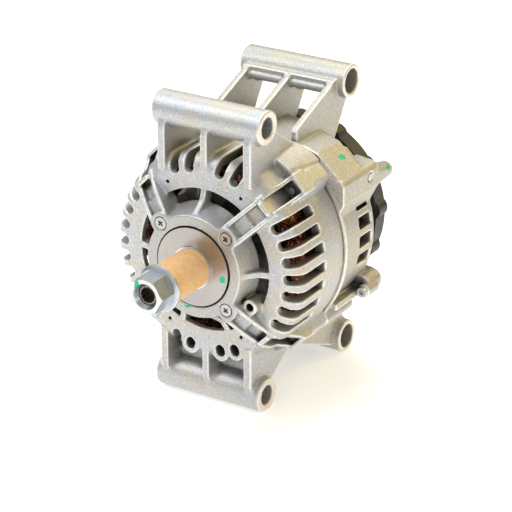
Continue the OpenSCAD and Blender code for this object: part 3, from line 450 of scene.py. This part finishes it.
@dataclass(frozen=True)
class EnamelledCopper(Finish):
    """Copper wire under red-brown enamel.

    Attributes:
        deep: Colour of the wires wherever no painted glint shows.
        bright: Colour of the painted orange glints on some wires.
        dark_r: Distance from the shaft within which no painted glints show, so all wires there
            keep the deep colour, in mm.
        fade_mm: How far past it the painted glints fade in.
        shade_mm: Size of the painted glints.
        grain_mm: Size of the varnish's grain.
    """

    deep: Colour = (0.07, 0.014, 0.006)
    bright: Colour = (0.88, 0.30, 0.10)
    dark_r: float = 64.0
    fade_mm: float = 5.0
    shade_mm: float = 1.8
    grain_mm: float = 0.8

    def build(self) -> bpy.types.Material:
        """Builds the material.

        Returns:
            A glossy dark copper with painted orange glints on some of its outer wires.
        """
        graph = NodeGraph(self.name)
        # Painted glints: orange-bright spots scattered over the outer wires.
        shades = graph.remap(graph.noise(self.shade_mm, 3, 0.7), 0.47, 0.62)
        across, up = (graph.math("POWER", graph.axis(name), 2.0) for name in "XZ")
        radius = graph.math("SQRT", graph.math("ADD", across, up))
        # No painted glints on the wires near the shaft.
        outer = graph.remap(radius, self.dark_r * MM, (self.dark_r + self.fade_mm) * MM)
        colour = graph.mix(graph.math("MULTIPLY", shades, outer), rgba(self.deep),
                           rgba(self.bright))
        graph.set(Base_Color=colour, Metallic=0.72, Roughness=0.3, Coat_Weight=0.5,
                  Coat_Roughness=0.15, Normal=graph.bump(
                      graph.noise(self.grain_mm, 2), 0.3, 0.05))
        return graph.material


@dataclass(frozen=True)
class MouldedPlastic(Finish):
    """Moulded plastic with a fine grain.

    Attributes:
        colour: Colour of the plastic.
        worn: Colour of the dusty, rubbed patches.
        rough: Roughness.
        patch_mm: Size of the patches.
        grain_mm: Size of the fine grain.
    """

    colour: Colour = (0.017, 0.018, 0.02)
    worn: Colour = (0.05, 0.05, 0.052)
    rough: float = 0.42
    patch_mm: float = 14.0
    grain_mm: float = 0.7

    def build(self) -> bpy.types.Material:
        """Builds the material.

        Returns:
            A satin plastic with a spark-eroded grain.
        """
        graph = NodeGraph(self.name)
        patches = graph.remap(graph.noise(self.patch_mm, 4), 0.42, 0.7)
        grain = graph.noise(self.grain_mm, 2, 0.6)
        colour = graph.mix(patches, rgba(self.colour), rgba(self.worn))
        graph.set(Base_Color=colour,
                  Roughness=graph.remap(patches, 0.0, 1.0, self.rough, self.rough + 0.14),
                  Normal=graph.bump(grain, 0.35, 0.06))
        return graph.material


@dataclass(frozen=True)
class StackedSheets(Finish):
    """Thin steel sheets pressed together along the shaft.

    Attributes:
        light: Colour of a sheet's edge.
        dark: Colour between two sheets.
        sheet_mm: Thickness of a sheet.
    """

    light: Colour = (0.26, 0.25, 0.24)
    dark: Colour = (0.06, 0.055, 0.05)
    sheet_mm: float = 1.0

    def build(self) -> bpy.types.Material:
        """Builds the material.

        Returns:
            A dark metal with lines between its sheets.
        """
        graph = NodeGraph(self.name)
        lines = graph.wave(self.sheet_mm, bands_direction="Y")
        colour = graph.mix(graph.remap(lines, 0.2, 0.8), rgba(self.dark), rgba(self.light))
        graph.set(Base_Color=colour, Metallic=0.9, Roughness=0.5,
                  Normal=graph.bump(lines, 0.5, 0.1))
        return graph.material


@dataclass(frozen=True)
class PaintDab(Finish):
    """Inspection paint, put on by hand.

    Attributes:
        colour: Colour of the paint.
        thin: Colour where it is thin.
        patch_mm: Size of the thin places.
    """

    colour: Colour = (0.0, 0.47, 0.29)
    thin: Colour = (0.05, 0.62, 0.42)
    patch_mm: float = 1.4

    def build(self) -> bpy.types.Material:
        """Builds the material.

        Returns:
            A satin paint, thinner in places.
        """
        graph = NodeGraph(self.name)
        patches = graph.noise(self.patch_mm, 3)
        colour = graph.tint(rgba(self.colour), self.thin, patches, 0.5, 0.75, 0.5)
        graph.set(Base_Color=colour, Roughness=0.42, Normal=graph.bump(patches, 0.4, 0.08))
        return graph.material


CAST = CastAluminium("cast_aluminium")
CAST_REAR = CastAluminium("cast_aluminium_rear", cool=(0.50, 0.50, 0.495),
                          warm=(0.54, 0.515, 0.45))
PLATE_ALUMINIUM = PlatedSteel("plate_aluminium", colour=(0.6, 0.6, 0.6),
                              cloud=(0.48, 0.48, 0.48), rough=0.34)
TURNED = TurnedMetal("machined_steel")
SHAFT_STEEL = TurnedMetal("shaft_steel", light=(0.32, 0.29, 0.27), dark=(0.12, 0.1, 0.09),
                          rough=0.32, sheen=0.2)
BEARING = TurnedMetal("bearing_steel", light=(0.6, 0.6, 0.61), dark=(0.42, 0.42, 0.43),
                      rough=0.2, pitch_mm=0.5, sheen=0.4)
ZINC = PlatedSteel("zinc_steel")
SCREW = PlatedSteel("screw_steel", colour=(0.13, 0.13, 0.145), cloud=(0.075, 0.075, 0.08),
                    rough=0.42)
BOLT = PlatedSteel("bolt_steel", colour=(0.62, 0.69, 0.79), cloud=(0.52, 0.58, 0.66), rough=0.3)
FORGED = PlatedSteel("dark_steel", colour=(0.085, 0.085, 0.09), cloud=(0.04, 0.04, 0.042),
                     rough=0.42, grain_mm=1.2)
# Fan steel near-black: partly its own dark colour, partly painted shade of the dark gap round the
# hub.
SHEET_STEEL = PlatedSteel("fan_steel", colour=(0.05, 0.052, 0.055), cloud=(0.03, 0.03, 0.032),
                          rough=0.4)
SPRING_WIRE = PlatedSteel("spring_steel", colour=(0.55, 0.55, 0.57), cloud=(0.4, 0.4, 0.4))
COPPER_WIRE = EnamelledCopper("enamelled_copper")
BARE_COPPER = PlatedSteel("bare_copper", colour=(0.8, 0.42, 0.24), cloud=(0.58, 0.27, 0.14))
PAPER = PaperTube("cardboard")
CARBON = MouldedPlastic("carbon", colour=(0.022, 0.022, 0.024), worn=(0.05, 0.05, 0.05),
                        rough=0.6)
BLACK = MouldedPlastic("black_plastic")
RED = MouldedPlastic("red_plastic", colour=(0.35, 0.035, 0.025), worn=(0.42, 0.08, 0.06))
NYLON = MouldedPlastic("bobbin_plastic", colour=(0.62, 0.57, 0.45), worn=(0.5, 0.44, 0.32))
SHEETS = StackedSheets("laminated_steel")
GREEN = PaintDab("green_paint")


def look_up(name: str) -> bpy.types.Object:
    """Returns the frame's object for a node."""
    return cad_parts[name]


def make_mesh(name: str, points: Sequence[Sequence[float]], faces: Sequence[Sequence[int]],
              smooth: bool = True) -> bpy.types.Object:
    """Makes a mesh object.

    Args:
        name: The piece's name.
        points: Its points, in metres.
        faces: Its faces, as numbers of points.
        smooth: Whether faces are shaded smoothly.

    Returns:
        The linked object.
    """
    mesh = bpy.data.meshes.new(name)
    mesh.from_pydata([tuple(p) for p in points], [], [tuple(f) for f in faces])
    mesh.validate()
    if smooth:
        mesh.shade_smooth()
    else:
        mesh.shade_flat()
    piece = bpy.data.objects.new(name, mesh)
    bpy.context.scene.collection.objects.link(piece)
    return piece


def on_axis(radius: float, angle: float, along: float) -> Vector:
    """Returns a point at a radius and angle about the shaft, in metres and radians."""
    return Vector((radius * math.cos(angle), along, radius * math.sin(angle)))


def face_of(node: str, end: End) -> float:
    """Returns where a node ends along the shaft, in metres."""
    low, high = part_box(node)
    return low.y if end is End.DRIVE else high.y


@dataclass
class Tubes:
    """Collects round wires swept along paths into one mesh.

    Attributes:
        sides: Sides of each wire.
    """

    sides: int = 6
    points: list[Vector] = field(default_factory=list)
    faces: list[tuple[int, ...]] = field(default_factory=list)

    def sweep(self, path: Sequence[Vector], radius: float) -> None:
        """Adds one wire.

        Args:
            path: The points it follows, in metres.
            radius: Its radius, in metres.
        """
        start = len(self.points)
        across = Vector((0, 0, 1))
        for i, point in enumerate(path):
            ahead = path[min(i + 1, len(path) - 1)] - path[max(i - 1, 0)]
            ahead.normalize()
            across = across - across.dot(ahead) * ahead
            if across.length < 1e-6:
                across = ahead.orthogonal()
            across.normalize()
            other = ahead.cross(across)
            for j in range(self.sides):
                turn = 2 * math.pi * j / self.sides
                self.points.append(
                    point + radius * (math.cos(turn) * across + math.sin(turn) * other))
        for i in range(len(path) - 1):
            for j in range(self.sides):
                k = (j + 1) % self.sides
                low, high = start + i * self.sides, start + (i + 1) * self.sides
                self.faces.append((low + j, low + k, high + k, high + j))
        last = start + (len(path) - 1) * self.sides
        self.faces.append(tuple(start + j for j in reversed(range(self.sides))))
        self.faces.append(tuple(last + j for j in range(self.sides)))

    def piece(self, name: str) -> bpy.types.Object:
        """Returns the wires as one piece."""
        return make_mesh(name, self.points, self.faces)


def lathe(name: str, profile: Sequence[tuple[float, float]], steps: int = 96
          ) -> bpy.types.Object:
    """Turns a closed profile about the shaft.

    Args:
        name: The piece's name.
        profile: Radius and place along the shaft of each corner, in metres.
        steps: Steps round the shaft.

    Returns:
        The turned piece.
    """
    count = len(profile)
    points = [on_axis(r, 2 * math.pi * i / steps, y) for i in range(steps) for r, y in profile]
    faces = [(i * count + j, i * count + (j + 1) % count,
              (i + 1) % steps * count + (j + 1) % count, (i + 1) % steps * count + j)
             for i in range(steps) for j in range(count)]
    piece = make_mesh(name, points, faces)
    bevel = piece.modifiers.new("soft_edges", "BEVEL")
    bevel.width = 0.4 * MM
    bevel.segments = 2
    return piece


def dress(name: str, finish: bpy.types.Material) -> bpy.types.Object:
    """Gives a node of the frame its finish.

    Args:
        name: The node.
        finish: Its material.

    Returns:
        The node's object.
    """
    node = look_up(name)
    node.data.materials.clear()
    node.data.materials.append(finish)
    return node


def soften(piece: bpy.types.Object, voxel_mm: float, passes: int) -> None:
    """Rounds a casting's edges without moving its faces.

    Args:
        piece: The casting.
        voxel_mm: Size of the voxels it is rebuilt from.
        passes: How often its points are averaged.
    """
    rebuild = piece.modifiers.new("cast_skin", "REMESH")
    rebuild.mode = "VOXEL"
    rebuild.voxel_size = voxel_mm * MM
    rebuild.use_smooth_shade = True
    average = piece.modifiers.new("cast_edges", "SMOOTH")
    average.factor = 0.5
    average.iterations = passes


def ease(piece: bpy.types.Object, width_mm: float) -> None:
    """Breaks a machined piece's sharp edges.

    Args:
        piece: The piece.
        width_mm: Width of the broken edge.
    """
    bevel = piece.modifiers.new("broken_edges", "BEVEL")
    bevel.width = width_mm * MM
    bevel.segments = 2
    bevel.limit_method = "ANGLE"
    bevel.angle_limit = math.radians(40)


class Materials:
    """Builds each finish once and hands it out."""

    def __init__(self) -> None:
        """Starts with nothing built."""
        self._built: dict[str, bpy.types.Material] = {}

    def of(self, finish: Finish) -> bpy.types.Material:
        """Returns the material of a finish."""
        if finish.name not in self._built:
            self._built[finish.name] = finish.build()
        return self._built[finish.name]


@dataclass
class Part:
    """A sub-assembly, which dresses its nodes and adds its pieces.

    Attributes:
        materials: Where finishes come from.
    """

    materials: Materials

    def build(self) -> list[bpy.types.Object]:
        """Dresses the nodes and returns the added pieces."""
        raise NotImplementedError

    def dress_all(self, finishes: Mapping[str, Finish], broken_mm: float = 0.0) -> None:
        """Dresses several nodes.

        Args:
            finishes: The finish of each node.
            broken_mm: Width of the broken edges, or 0 for none.
        """
        for name, finish in finishes.items():
            node = dress(name, self.materials.of(finish))
            if broken_mm:
                ease(node, broken_mm)

    def place(self, piece: bpy.types.Object, finish: Finish, body: Body,
              slot: str) -> bpy.types.Object:
        """Gives a new piece its finish and body.

        Args:
            piece: The piece.
            finish: Its finish.
            body: The body that it rides on.
            slot: Not used.

        Returns:
            The same piece.
        """
        piece.data.materials.append(self.materials.of(finish))
        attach(piece, body.value)
        return piece


@dataclass
class Housings(Part):
    """The two castings with their bolts, screws, pin and lug screw.

    Attributes:
        voxel_mm: Voxel size of the cast skin.
        passes: How far its edges are rounded.
    """

    voxel_mm: float = 0.9
    passes: int = 5

    def build(self) -> list[bpy.types.Object]:
        """Rounds the castings and dresses what is in them."""
        for name, finish in (("front_housing", CAST), ("rear_housing", CAST_REAR)):
            soften(dress(name, self.materials.of(finish)), self.voxel_mm, self.passes)
        self.dress_all({"retainer_screws": SCREW, "through_bolts": BOLT, "lug_pin": BEARING,
                        "lug_screw": ZINC, "bearing_retainer": FORGED}, 0.25)
        return []


@dataclass
class ShaftStack(Part):
    """The shaft's nose with its disc, shoulder ring, sleeve and nut."""

    def build(self) -> list[bpy.types.Object]:
        """Dresses the stack."""
        self.dress_all({"cover_disc": TURNED, "shoulder_ring": ZINC, "flange_nut": ZINC,
                        "shaft": SHAFT_STEEL, "transit_sleeve": PAPER}, 0.3)
        return []


@dataclass
class Bearings(Part):
    """Both ball bearings."""

    def build(self) -> list[bpy.types.Object]:
        """Dresses the rings and the balls."""
        self.dress_all({f"{end}_bearing_{piece}": BEARING for end in ("front", "rear")
                        for piece in ("outer", "inner", "balls")})
        return []


@dataclass
class StatorWinding(Part):
    """The stator core and the copper winding, wire by wire.

    Attributes:
        slots: Slots of the core.
        span: Slots from where a wire leaves the core to where it goes back in.
        strands: Wires from each slot.
        wire_r: Radius of a wire, in mm.
        inner_r: Radius of the innermost wires, in mm.
        outer_r: Radius of the outermost wires, in mm.
        steps: Steps along a wire's arch.
        lowest: Height of the lowest arches, as a share of the highest.
        blunt: Power of the arch's sine, with less for a flatter top.
        waver_mm: How far a wire wavers in and out along its arch.
        lean_deg: How far its start leans either way.
        stray_deg: How far its end strays either way.
        leg_rows: Wires one above another in a slot.
        leg_pitch: Distance from one of them to the next, in mm.
        bed_mm: Length of the bundle under the outer wires.
        seed: Seed of the wires' small disorder.
    """

    slots: int = 36
    span: int = 3
    strands: int = 12
    wire_r: float = 0.48
    inner_r: float = 61.6
    outer_r: float = 75.2
    steps: int = 12
    lowest: float = 0.62
    blunt: float = 0.62
    waver_mm: float = 1.1
    lean_deg: float = 1.6
    stray_deg: float = 1.5
    leg_rows: int = 5
    leg_pitch: float = 1.7
    bed_mm: float = 13.0
    seed: int = 7

    def arch(self, end: End, slot: int, strand: int, chance: random.Random) -> list[Vector]:
        """Lays one wire's arch from a slot to the slot that it goes back into.

        Args:
            end: The end of the machine.
            slot: The slot that it leaves.
            strand: Its number in the slot.
            chance: Source of the disorder.

        Returns:
            The points it follows, in metres.
        """
        edge = face_of("stator_core", end) / MM - end.value
        reach = abs(face_of("stator_windings", end) / MM - edge) - 2.2 * self.wire_r
        share = self.lowest + (1 - self.lowest) * strand / (self.strands - 1)
        height = reach * share * chance.uniform(0.9, 1.0)
        middle = (self.inner_r + self.outer_r) / 2
        out_r = middle + (self.outer_r - middle) * chance.uniform(0.35, 1.0)
        in_r = middle - (middle - self.inner_r) * chance.uniform(0.35, 1.0)
        lean = math.radians(chance.uniform(-self.lean_deg, self.lean_deg))
        start = 2 * math.pi * slot / self.slots + lean
        sweep = 2 * math.pi * self.span / self.slots + math.radians(
            chance.uniform(-self.stray_deg, self.stray_deg))
        path = []
        for i in range(self.steps + 1):
            t = i / self.steps
            rise = math.sin(math.pi * t) ** self.blunt
            bend = t + 0.055 * math.sin(2 * math.pi * t)
            radius = out_r + (in_r - out_r) * bend + self.waver_mm * math.sin(
                math.pi * t * 3 + strand) * chance.uniform(0.2, 1.0)
            radius = min(max(radius, self.inner_r), self.outer_r)
            path.append(on_axis(radius * MM, start + sweep * bend,
                                (edge + end.value * height * rise) * MM))
        return path

    def head(self, end: End) -> bpy.types.Object:
        """Builds the winding head of one end.

        Args:
            end: The end of the machine.

        Returns:
            The wires as one piece.
        """
        chance = random.Random(self.seed + end.value)
        wires = Tubes(sides=6)
        for slot in range(self.slots):
            for strand in range(self.strands):
                wires.sweep(self.arch(end, slot, strand, chance), self.wire_r * MM)
        return wires.piece(f"winding_head_{end.name.lower()}")

    def bed(self, end: End) -> bpy.types.Object:
        """Builds the varnished bundle under the outer wires.

        Args:
            end: The end of the machine.

        Returns:
            The bundle as a ring.
        """
        edge = face_of("stator_core", end) + end.value * 0.3 * MM
        out = end.value * self.bed_mm * MM
        inner, outer = (self.inner_r + 2) * MM, (self.outer_r - 2.2) * MM
        soft = 3 * MM
        return lathe(f"winding_bed_{end.name.lower()}", [
            (inner, edge), (inner, edge + out), (inner + soft, edge + out * 1.2),
            (outer - soft, edge + out * 1.2), (outer, edge + out), (outer, edge)])

    def legs(self) -> bpy.types.Object:
        """Builds the straight wires in the core's slots."""
        low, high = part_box("stator_core")
        wires = Tubes(sides=5)
        for slot in range(self.slots):
            angle = 2 * math.pi * slot / self.slots
            for row in range(self.leg_rows):
                radius = (self.inner_r + 0.5 + self.leg_pitch * row) * MM
                wires.sweep([on_axis(radius, angle, low.y), on_axis(radius, angle, high.y)],
                            1.2 * self.wire_r * MM)
        return wires.piece("winding_legs")

    def build(self) -> list[bpy.types.Object]:
        """Dresses the core and winds it."""
        self.dress_all({"stator_core": SHEETS, "phase_leads": COPPER_WIRE})
        pieces = [self.legs()]
        for end in End:
            pieces += [self.head(end), self.bed(end)]
        for piece in pieces:
            self.place(piece, COPPER_WIRE, Body.HOUSING, "enamelled_copper")
            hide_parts("stator_windings")
        return pieces


@dataclass
class Rotor(Part):
    """The turning field: claws, coil, fans and slip rings."""

    def build(self) -> list[bpy.types.Object]:
        """Dresses the rotor."""
        self.dress_all({"claw_pole_front": FORGED, "claw_pole_rear": FORGED,
                        "front_fan": SHEET_STEEL, "rear_fan": SHEET_STEEL}, 0.35)
        self.dress_all({"field_coil": COPPER_WIRE, "coil_bobbin": NYLON,
                        "slip_rings": BARE_COPPER, "slip_ring_carrier": BLACK})
        return []


@dataclass
class Rectifier(Part):
    """Plates, diodes, board, screws and the output terminal."""

    def build(self) -> list[bpy.types.Object]:
        """Dresses the rectifier."""
        self.dress_all({"negative_heat_sink": PLATE_ALUMINIUM,
                        "positive_heat_sink": PLATE_ALUMINIUM, "negative_diodes": ZINC,
                        "positive_diodes": ZINC, "terminal_board": BLACK,
                        "rectifier_screws": ZINC, "output_stud": BARE_COPPER,
                        "stud_insulator": RED, "stud_nut": ZINC}, 0.2)
        return []


@dataclass
class BrushGear(Part):
    """Regulator, brush holder, brushes, springs and the plug's socket."""

    def build(self) -> list[bpy.types.Object]:
        """Dresses the brush gear."""
        self.dress_all({"brush_holder": BLACK, "regulator": PLATE_ALUMINIUM,
                        "regulator_screws": ZINC, "brush_outer": CARBON,
                        "brush_inner": CARBON, "connector_socket": BLACK,
                        "connector_pins": BARE_COPPER}, 0.2)
        self.dress_all({"brush_spring_outer": SPRING_WIRE, "brush_spring_inner": SPRING_WIRE})
        return []


@dataclass
class RearCover(Part):
    """The moulded cover and its screws."""

    def build(self) -> list[bpy.types.Object]:
        """Dresses the cover."""
        self.dress_all({"rear_cover": BLACK, "cover_screws": ZINC}, 0.5)
        return []


@dataclass(frozen=True)
class Dab:
    """One dab of inspection paint.

    Attributes:
        name: The piece's name.
        node: The node it is painted on.
        body: The body that node is in.
        centre: Its middle, in mm.
        outward: The way the surface faces.
        size: Its half length and half width, in mm.
        turn: Angle of its length, in degrees.
    """

    name: str
    node: str
    body: Body
    centre: Point
    outward: Point
    size: tuple[float, float]
    turn: float = 0.0


DABS = (
    Dab("paint_disc", "cover_disc", Body.ROTOR, (27.6, -0.5, -4.3), (0, -1, 0), (3.2, 2.6)),
    Dab("paint_hub", "front_housing", Body.HOUSING, (-5.5, 0, -34.8), (0, -1, 0), (3.0, 1.7),
        -35),
    Dab("paint_nut", "flange_nut", Body.ROTOR, (-7.4, -65.3, 8.4), (0, -1, 0), (3.9, 2.1), 25),
    Dab("paint_shell", "rear_housing", Body.HOUSING, (70.0, 107.9, 70.6), (0.66, 0, 0.75),
        (4.2, 2.6), 40),
    Dab("paint_lug", "rear_housing", Body.HOUSING, (85.1, 157.1, 48.9), (0.84, 0.1, 0.53),
        (3.4, 2.4)),
)


@dataclass
class PaintMarks(Part):
    """Green dabs left by the inspector's brush.

    Attributes:
        spokes: Points round a dab.
        rings: Rings of points in a dab.
        lift: Thickness of the paint, in mm.
        rim: Thickness of its edge, in mm.
        reach: How far off the surface may lie from where it is expected, in mm.
    """

    spokes: int = 20
    rings: int = 4
    lift: float = 0.12
    rim: float = 0.03
    reach: float = 4.0

    def dab(self, mark: Dab) -> bpy.types.Object:
        """Lays one dab on its surface.

        Args:
            mark: Where it lies and how large it is.

        Returns:
            The dab.
        """
        surface = BVHTree.FromObject(look_up(mark.node),
                                     bpy.context.evaluated_depsgraph_get())
        out = Vector(mark.outward).normalized()
        side = out.orthogonal().normalized()
        side = Matrix.Rotation(math.radians(mark.turn), 3, out) @ side
        up = out.cross(side)
        centre = Vector(mark.centre) * MM
        chance = random.Random(len(mark.name))
        wobble = [chance.uniform(0.78, 1.15) for _ in range(self.spokes)]
        points = []
        for ring in range(self.rings + 1):
            share = ring / self.rings
            for i in range(self.spokes):
                turn = 2 * math.pi * i / self.spokes
                point = centre + share * wobble[i] * MM * (
                    mark.size[0] * math.cos(turn) * side + mark.size[1] * math.sin(turn) * up)
                hit = surface.ray_cast(point + out * self.reach * MM, -out,
                                       2 * self.reach * MM)[0]
                height = self.lift * (1 - share ** 3) + self.rim
                points.append((hit or point) + out * height * MM)
        faces = [(r * self.spokes + i, r * self.spokes + (i + 1) % self.spokes,
                  (r + 1) * self.spokes + (i + 1) % self.spokes, (r + 1) * self.spokes + i)
                 for r in range(self.rings) for i in range(self.spokes)]
        return make_mesh(mark.name, points, faces)

    def build(self) -> list[bpy.types.Object]:
        """Lays all the dabs."""
        return [self.place(self.dab(mark), GREEN, mark.body, "cast_aluminium")
                for mark in DABS]


ROOM_LEFT = ((0.0, (0.34, 0.355, 0.385)), (0.15, (0.30, 0.31, 0.33)),
             (0.36, (0.88, 0.88, 0.84)), (0.62, (1.0, 0.97, 0.88)), (1.0, (0.86, 0.91, 1.0)))
ROOM_RIGHT = ((0.0, (0.31, 0.28, 0.235)), (0.15, (0.34, 0.295, 0.215)),
              (0.38, (0.86, 0.67, 0.24)), (0.62, (0.82, 0.67, 0.30)), (1.0, (0.80, 0.86, 0.96)))


@dataclass(frozen=True)
class Lamp:
    """A soft square light that faces the machine.

    Attributes:
        name: The light's name.
        place: Where it stands, in metres.
        size: Side of its square, in metres.
        watts: Its power.
        colour: Its colour.
        aim: The point it faces, in metres.
    """

    name: str
    place: Point
    size: float
    watts: float
    colour: Colour = (1.0, 1.0, 1.0)
    aim: Point = (0.0, 0.07, 0.0)

    def hang(self) -> None:
        """Adds the light to the scene."""
        data = bpy.data.lights.new(self.name, "AREA")
        data.size = self.size
        data.energy = self.watts
        data.color = self.colour
        light = bpy.data.objects.new(self.name, data)
        light.location = self.place
        light.rotation_euler = (Vector(self.place) - Vector(self.aim)).to_track_quat(
            "Z", "Y").to_euler()
        bpy.context.scene.collection.objects.link(light)


LAMPS = (
    Lamp("key", (-0.75, -0.72, 1.42), 0.6, 13, (0.88, 0.94, 1.0)),
    Lamp("fill", (1.35, -0.55, 0.45), 0.5, 3.0, (0.95, 0.97, 1.0)),
    Lamp("top", (-0.2, 0.6, 1.5), 0.7, 13, (1.0, 0.95, 0.82)),
    Lamp("back", (0.75, 1.35, 0.95), 0.5, 4.4, (1.0, 0.73, 0.21)),
    Lamp("front", (0.15, -1.6, 0.25), 0.5, 1.1),
)


@dataclass
class Studio:
    """Camera, lights, pale floor and surroundings.

    Attributes:
        azimuth: Degrees that the camera stands to the right of the drive end.
        elevation: Degrees that it looks down.
        distance: From the camera to the plane through its target, in mm.
        target_right: How far the target lies to the camera's right of the origin, in mm.
        target_up: How far it lies above it in the picture, in mm.
        focal: Focal length in pixels of a 512 pixel wide picture.
        room_light: Strength of the room's walls.
        turn_x: Where the left wall starts to turn into the right one, and where it has.
        floor_half: Half the floor's side, in metres.
        floor_glow: Strength of the floor's own light.
    """

    azimuth: float = 32.0
    elevation: float = 23.74
    distance: float = 1710.0
    target_right: float = 49.12
    target_up: float = 8.59
    focal: float = 2200.0
    room_light: float = 0.62
    turn_x: tuple[float, float] = (-0.1, 0.45)
    floor_half: float = 6.0
    floor_glow: float = 0.42

    def camera(self) -> None:
        """Puts the camera where the photograph was taken from."""
        az, el = math.radians(self.azimuth), math.radians(self.elevation)
        right = Vector((math.cos(az), math.sin(az), 0))
        back = Vector((math.sin(az) * math.cos(el), -math.cos(az) * math.cos(el), math.sin(el)))
        up = back.cross(right)
        target = (self.target_right * right + self.target_up * up) * MM
        data = bpy.data.cameras.new("view")
        data.sensor_width = SENSOR_MM
        data.lens = SENSOR_MM * self.focal / PICTURE_PX
        data.clip_end = 50.0
        camera = bpy.data.objects.new("view", data)
        turn = Matrix((right, up, back)).transposed().to_4x4()
        camera.matrix_world = Matrix.Translation(target + back * self.distance * MM) @ turn
        bpy.context.scene.collection.objects.link(camera)
        bpy.context.scene.camera = camera

    def surroundings(self) -> None:
        """Gives the room its pale walls, darker low down and warm behind."""
        world = bpy.data.worlds.new("room")
        bpy.context.scene.world = world
        world.use_nodes = True
        tree = world.node_tree
        ground = tree.nodes["Background"]
        where = tree.nodes.new("ShaderNodeTexCoord")
        split = tree.nodes.new("ShaderNodeSeparateXYZ")
        tree.links.new(where.outputs["Generated"], split.inputs[0])
        ramps = []
        for stops in (ROOM_LEFT, ROOM_RIGHT):
            ramp = tree.nodes.new("ShaderNodeValToRGB")
            tree.links.new(split.outputs["Z"], ramp.inputs[0])
            ends = ramp.color_ramp.elements
            ends[0].position, ends[0].color = stops[0][0], rgba(stops[0][1])
            ends[1].position, ends[1].color = stops[-1][0], rgba(stops[-1][1])
            for place, shade in stops[1:-1]:
                ends.new(place).color = rgba(shade)
            ramps.append(ramp)
        side = tree.nodes.new("ShaderNodeMapRange")
        side.inputs[1].default_value, side.inputs[2].default_value = self.turn_x
        blend = tree.nodes.new("ShaderNodeMix")
        blend.data_type = "RGBA"
        tree.links.new(split.outputs["X"], side.inputs[0])
        tree.links.new(side.outputs[0], blend.inputs["Factor"])
        tree.links.new(ramps[0].outputs[0], blend.inputs[6])
        tree.links.new(ramps[1].outputs[0], blend.inputs[7])
        tree.links.new(blend.outputs[2], ground.inputs["Color"])
        ground.inputs["Strength"].default_value = self.room_light

    def floor(self) -> None:
        """Lays the pale floor under the lowest point."""
        low, half = CAD_BOX[0][2], self.floor_half
        plane = make_mesh("floor", [(-half, -half, low), (half, -half, low), (half, half, low),
                                    (-half, half, low)], [(0, 1, 2, 3)], smooth=False)
        graph = NodeGraph("floor_paper")
        tone = graph.mix(graph.noise(400, 2), (0.93, 0.93, 0.935, 1), (0.95, 0.95, 0.95, 1))
        graph.set(Base_Color=tone, Roughness=0.9, Emission_Color=(1.0, 0.995, 0.985, 1.0),
                  Emission_Strength=self.floor_glow)
        plane.data.materials.append(graph.material)

    def build(self) -> None:
        """Sets up the whole studio."""
        bpy.context.scene.view_settings.view_transform = "Standard"
        self.camera()
        self.floor()
        self.surroundings()
        for lamp in LAMPS:
            lamp.hang()


def main() -> None:
    """Builds the sub-assemblies in order, then the studio, and reports each one."""
    logging.basicConfig(level=logging.INFO, format="%(name)s: %(message)s")
    materials = Materials()
    parts = (Housings, ShaftStack, Bearings, StatorWinding, Rotor, Rectifier, BrushGear,
             RearCover, PaintMarks)
    for kind in parts:
        pieces = kind(materials).build()
        LOG.info("%s: %s", kind.__name__, ", ".join(p.name for p in pieces) or "nodes dressed")
    Studio().build()
    bare = [name for name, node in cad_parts.items() if not node.data.materials]
    LOG.info("nodes without a finish: %s", bare or "none")


if __name__ == "__main__":
    main()
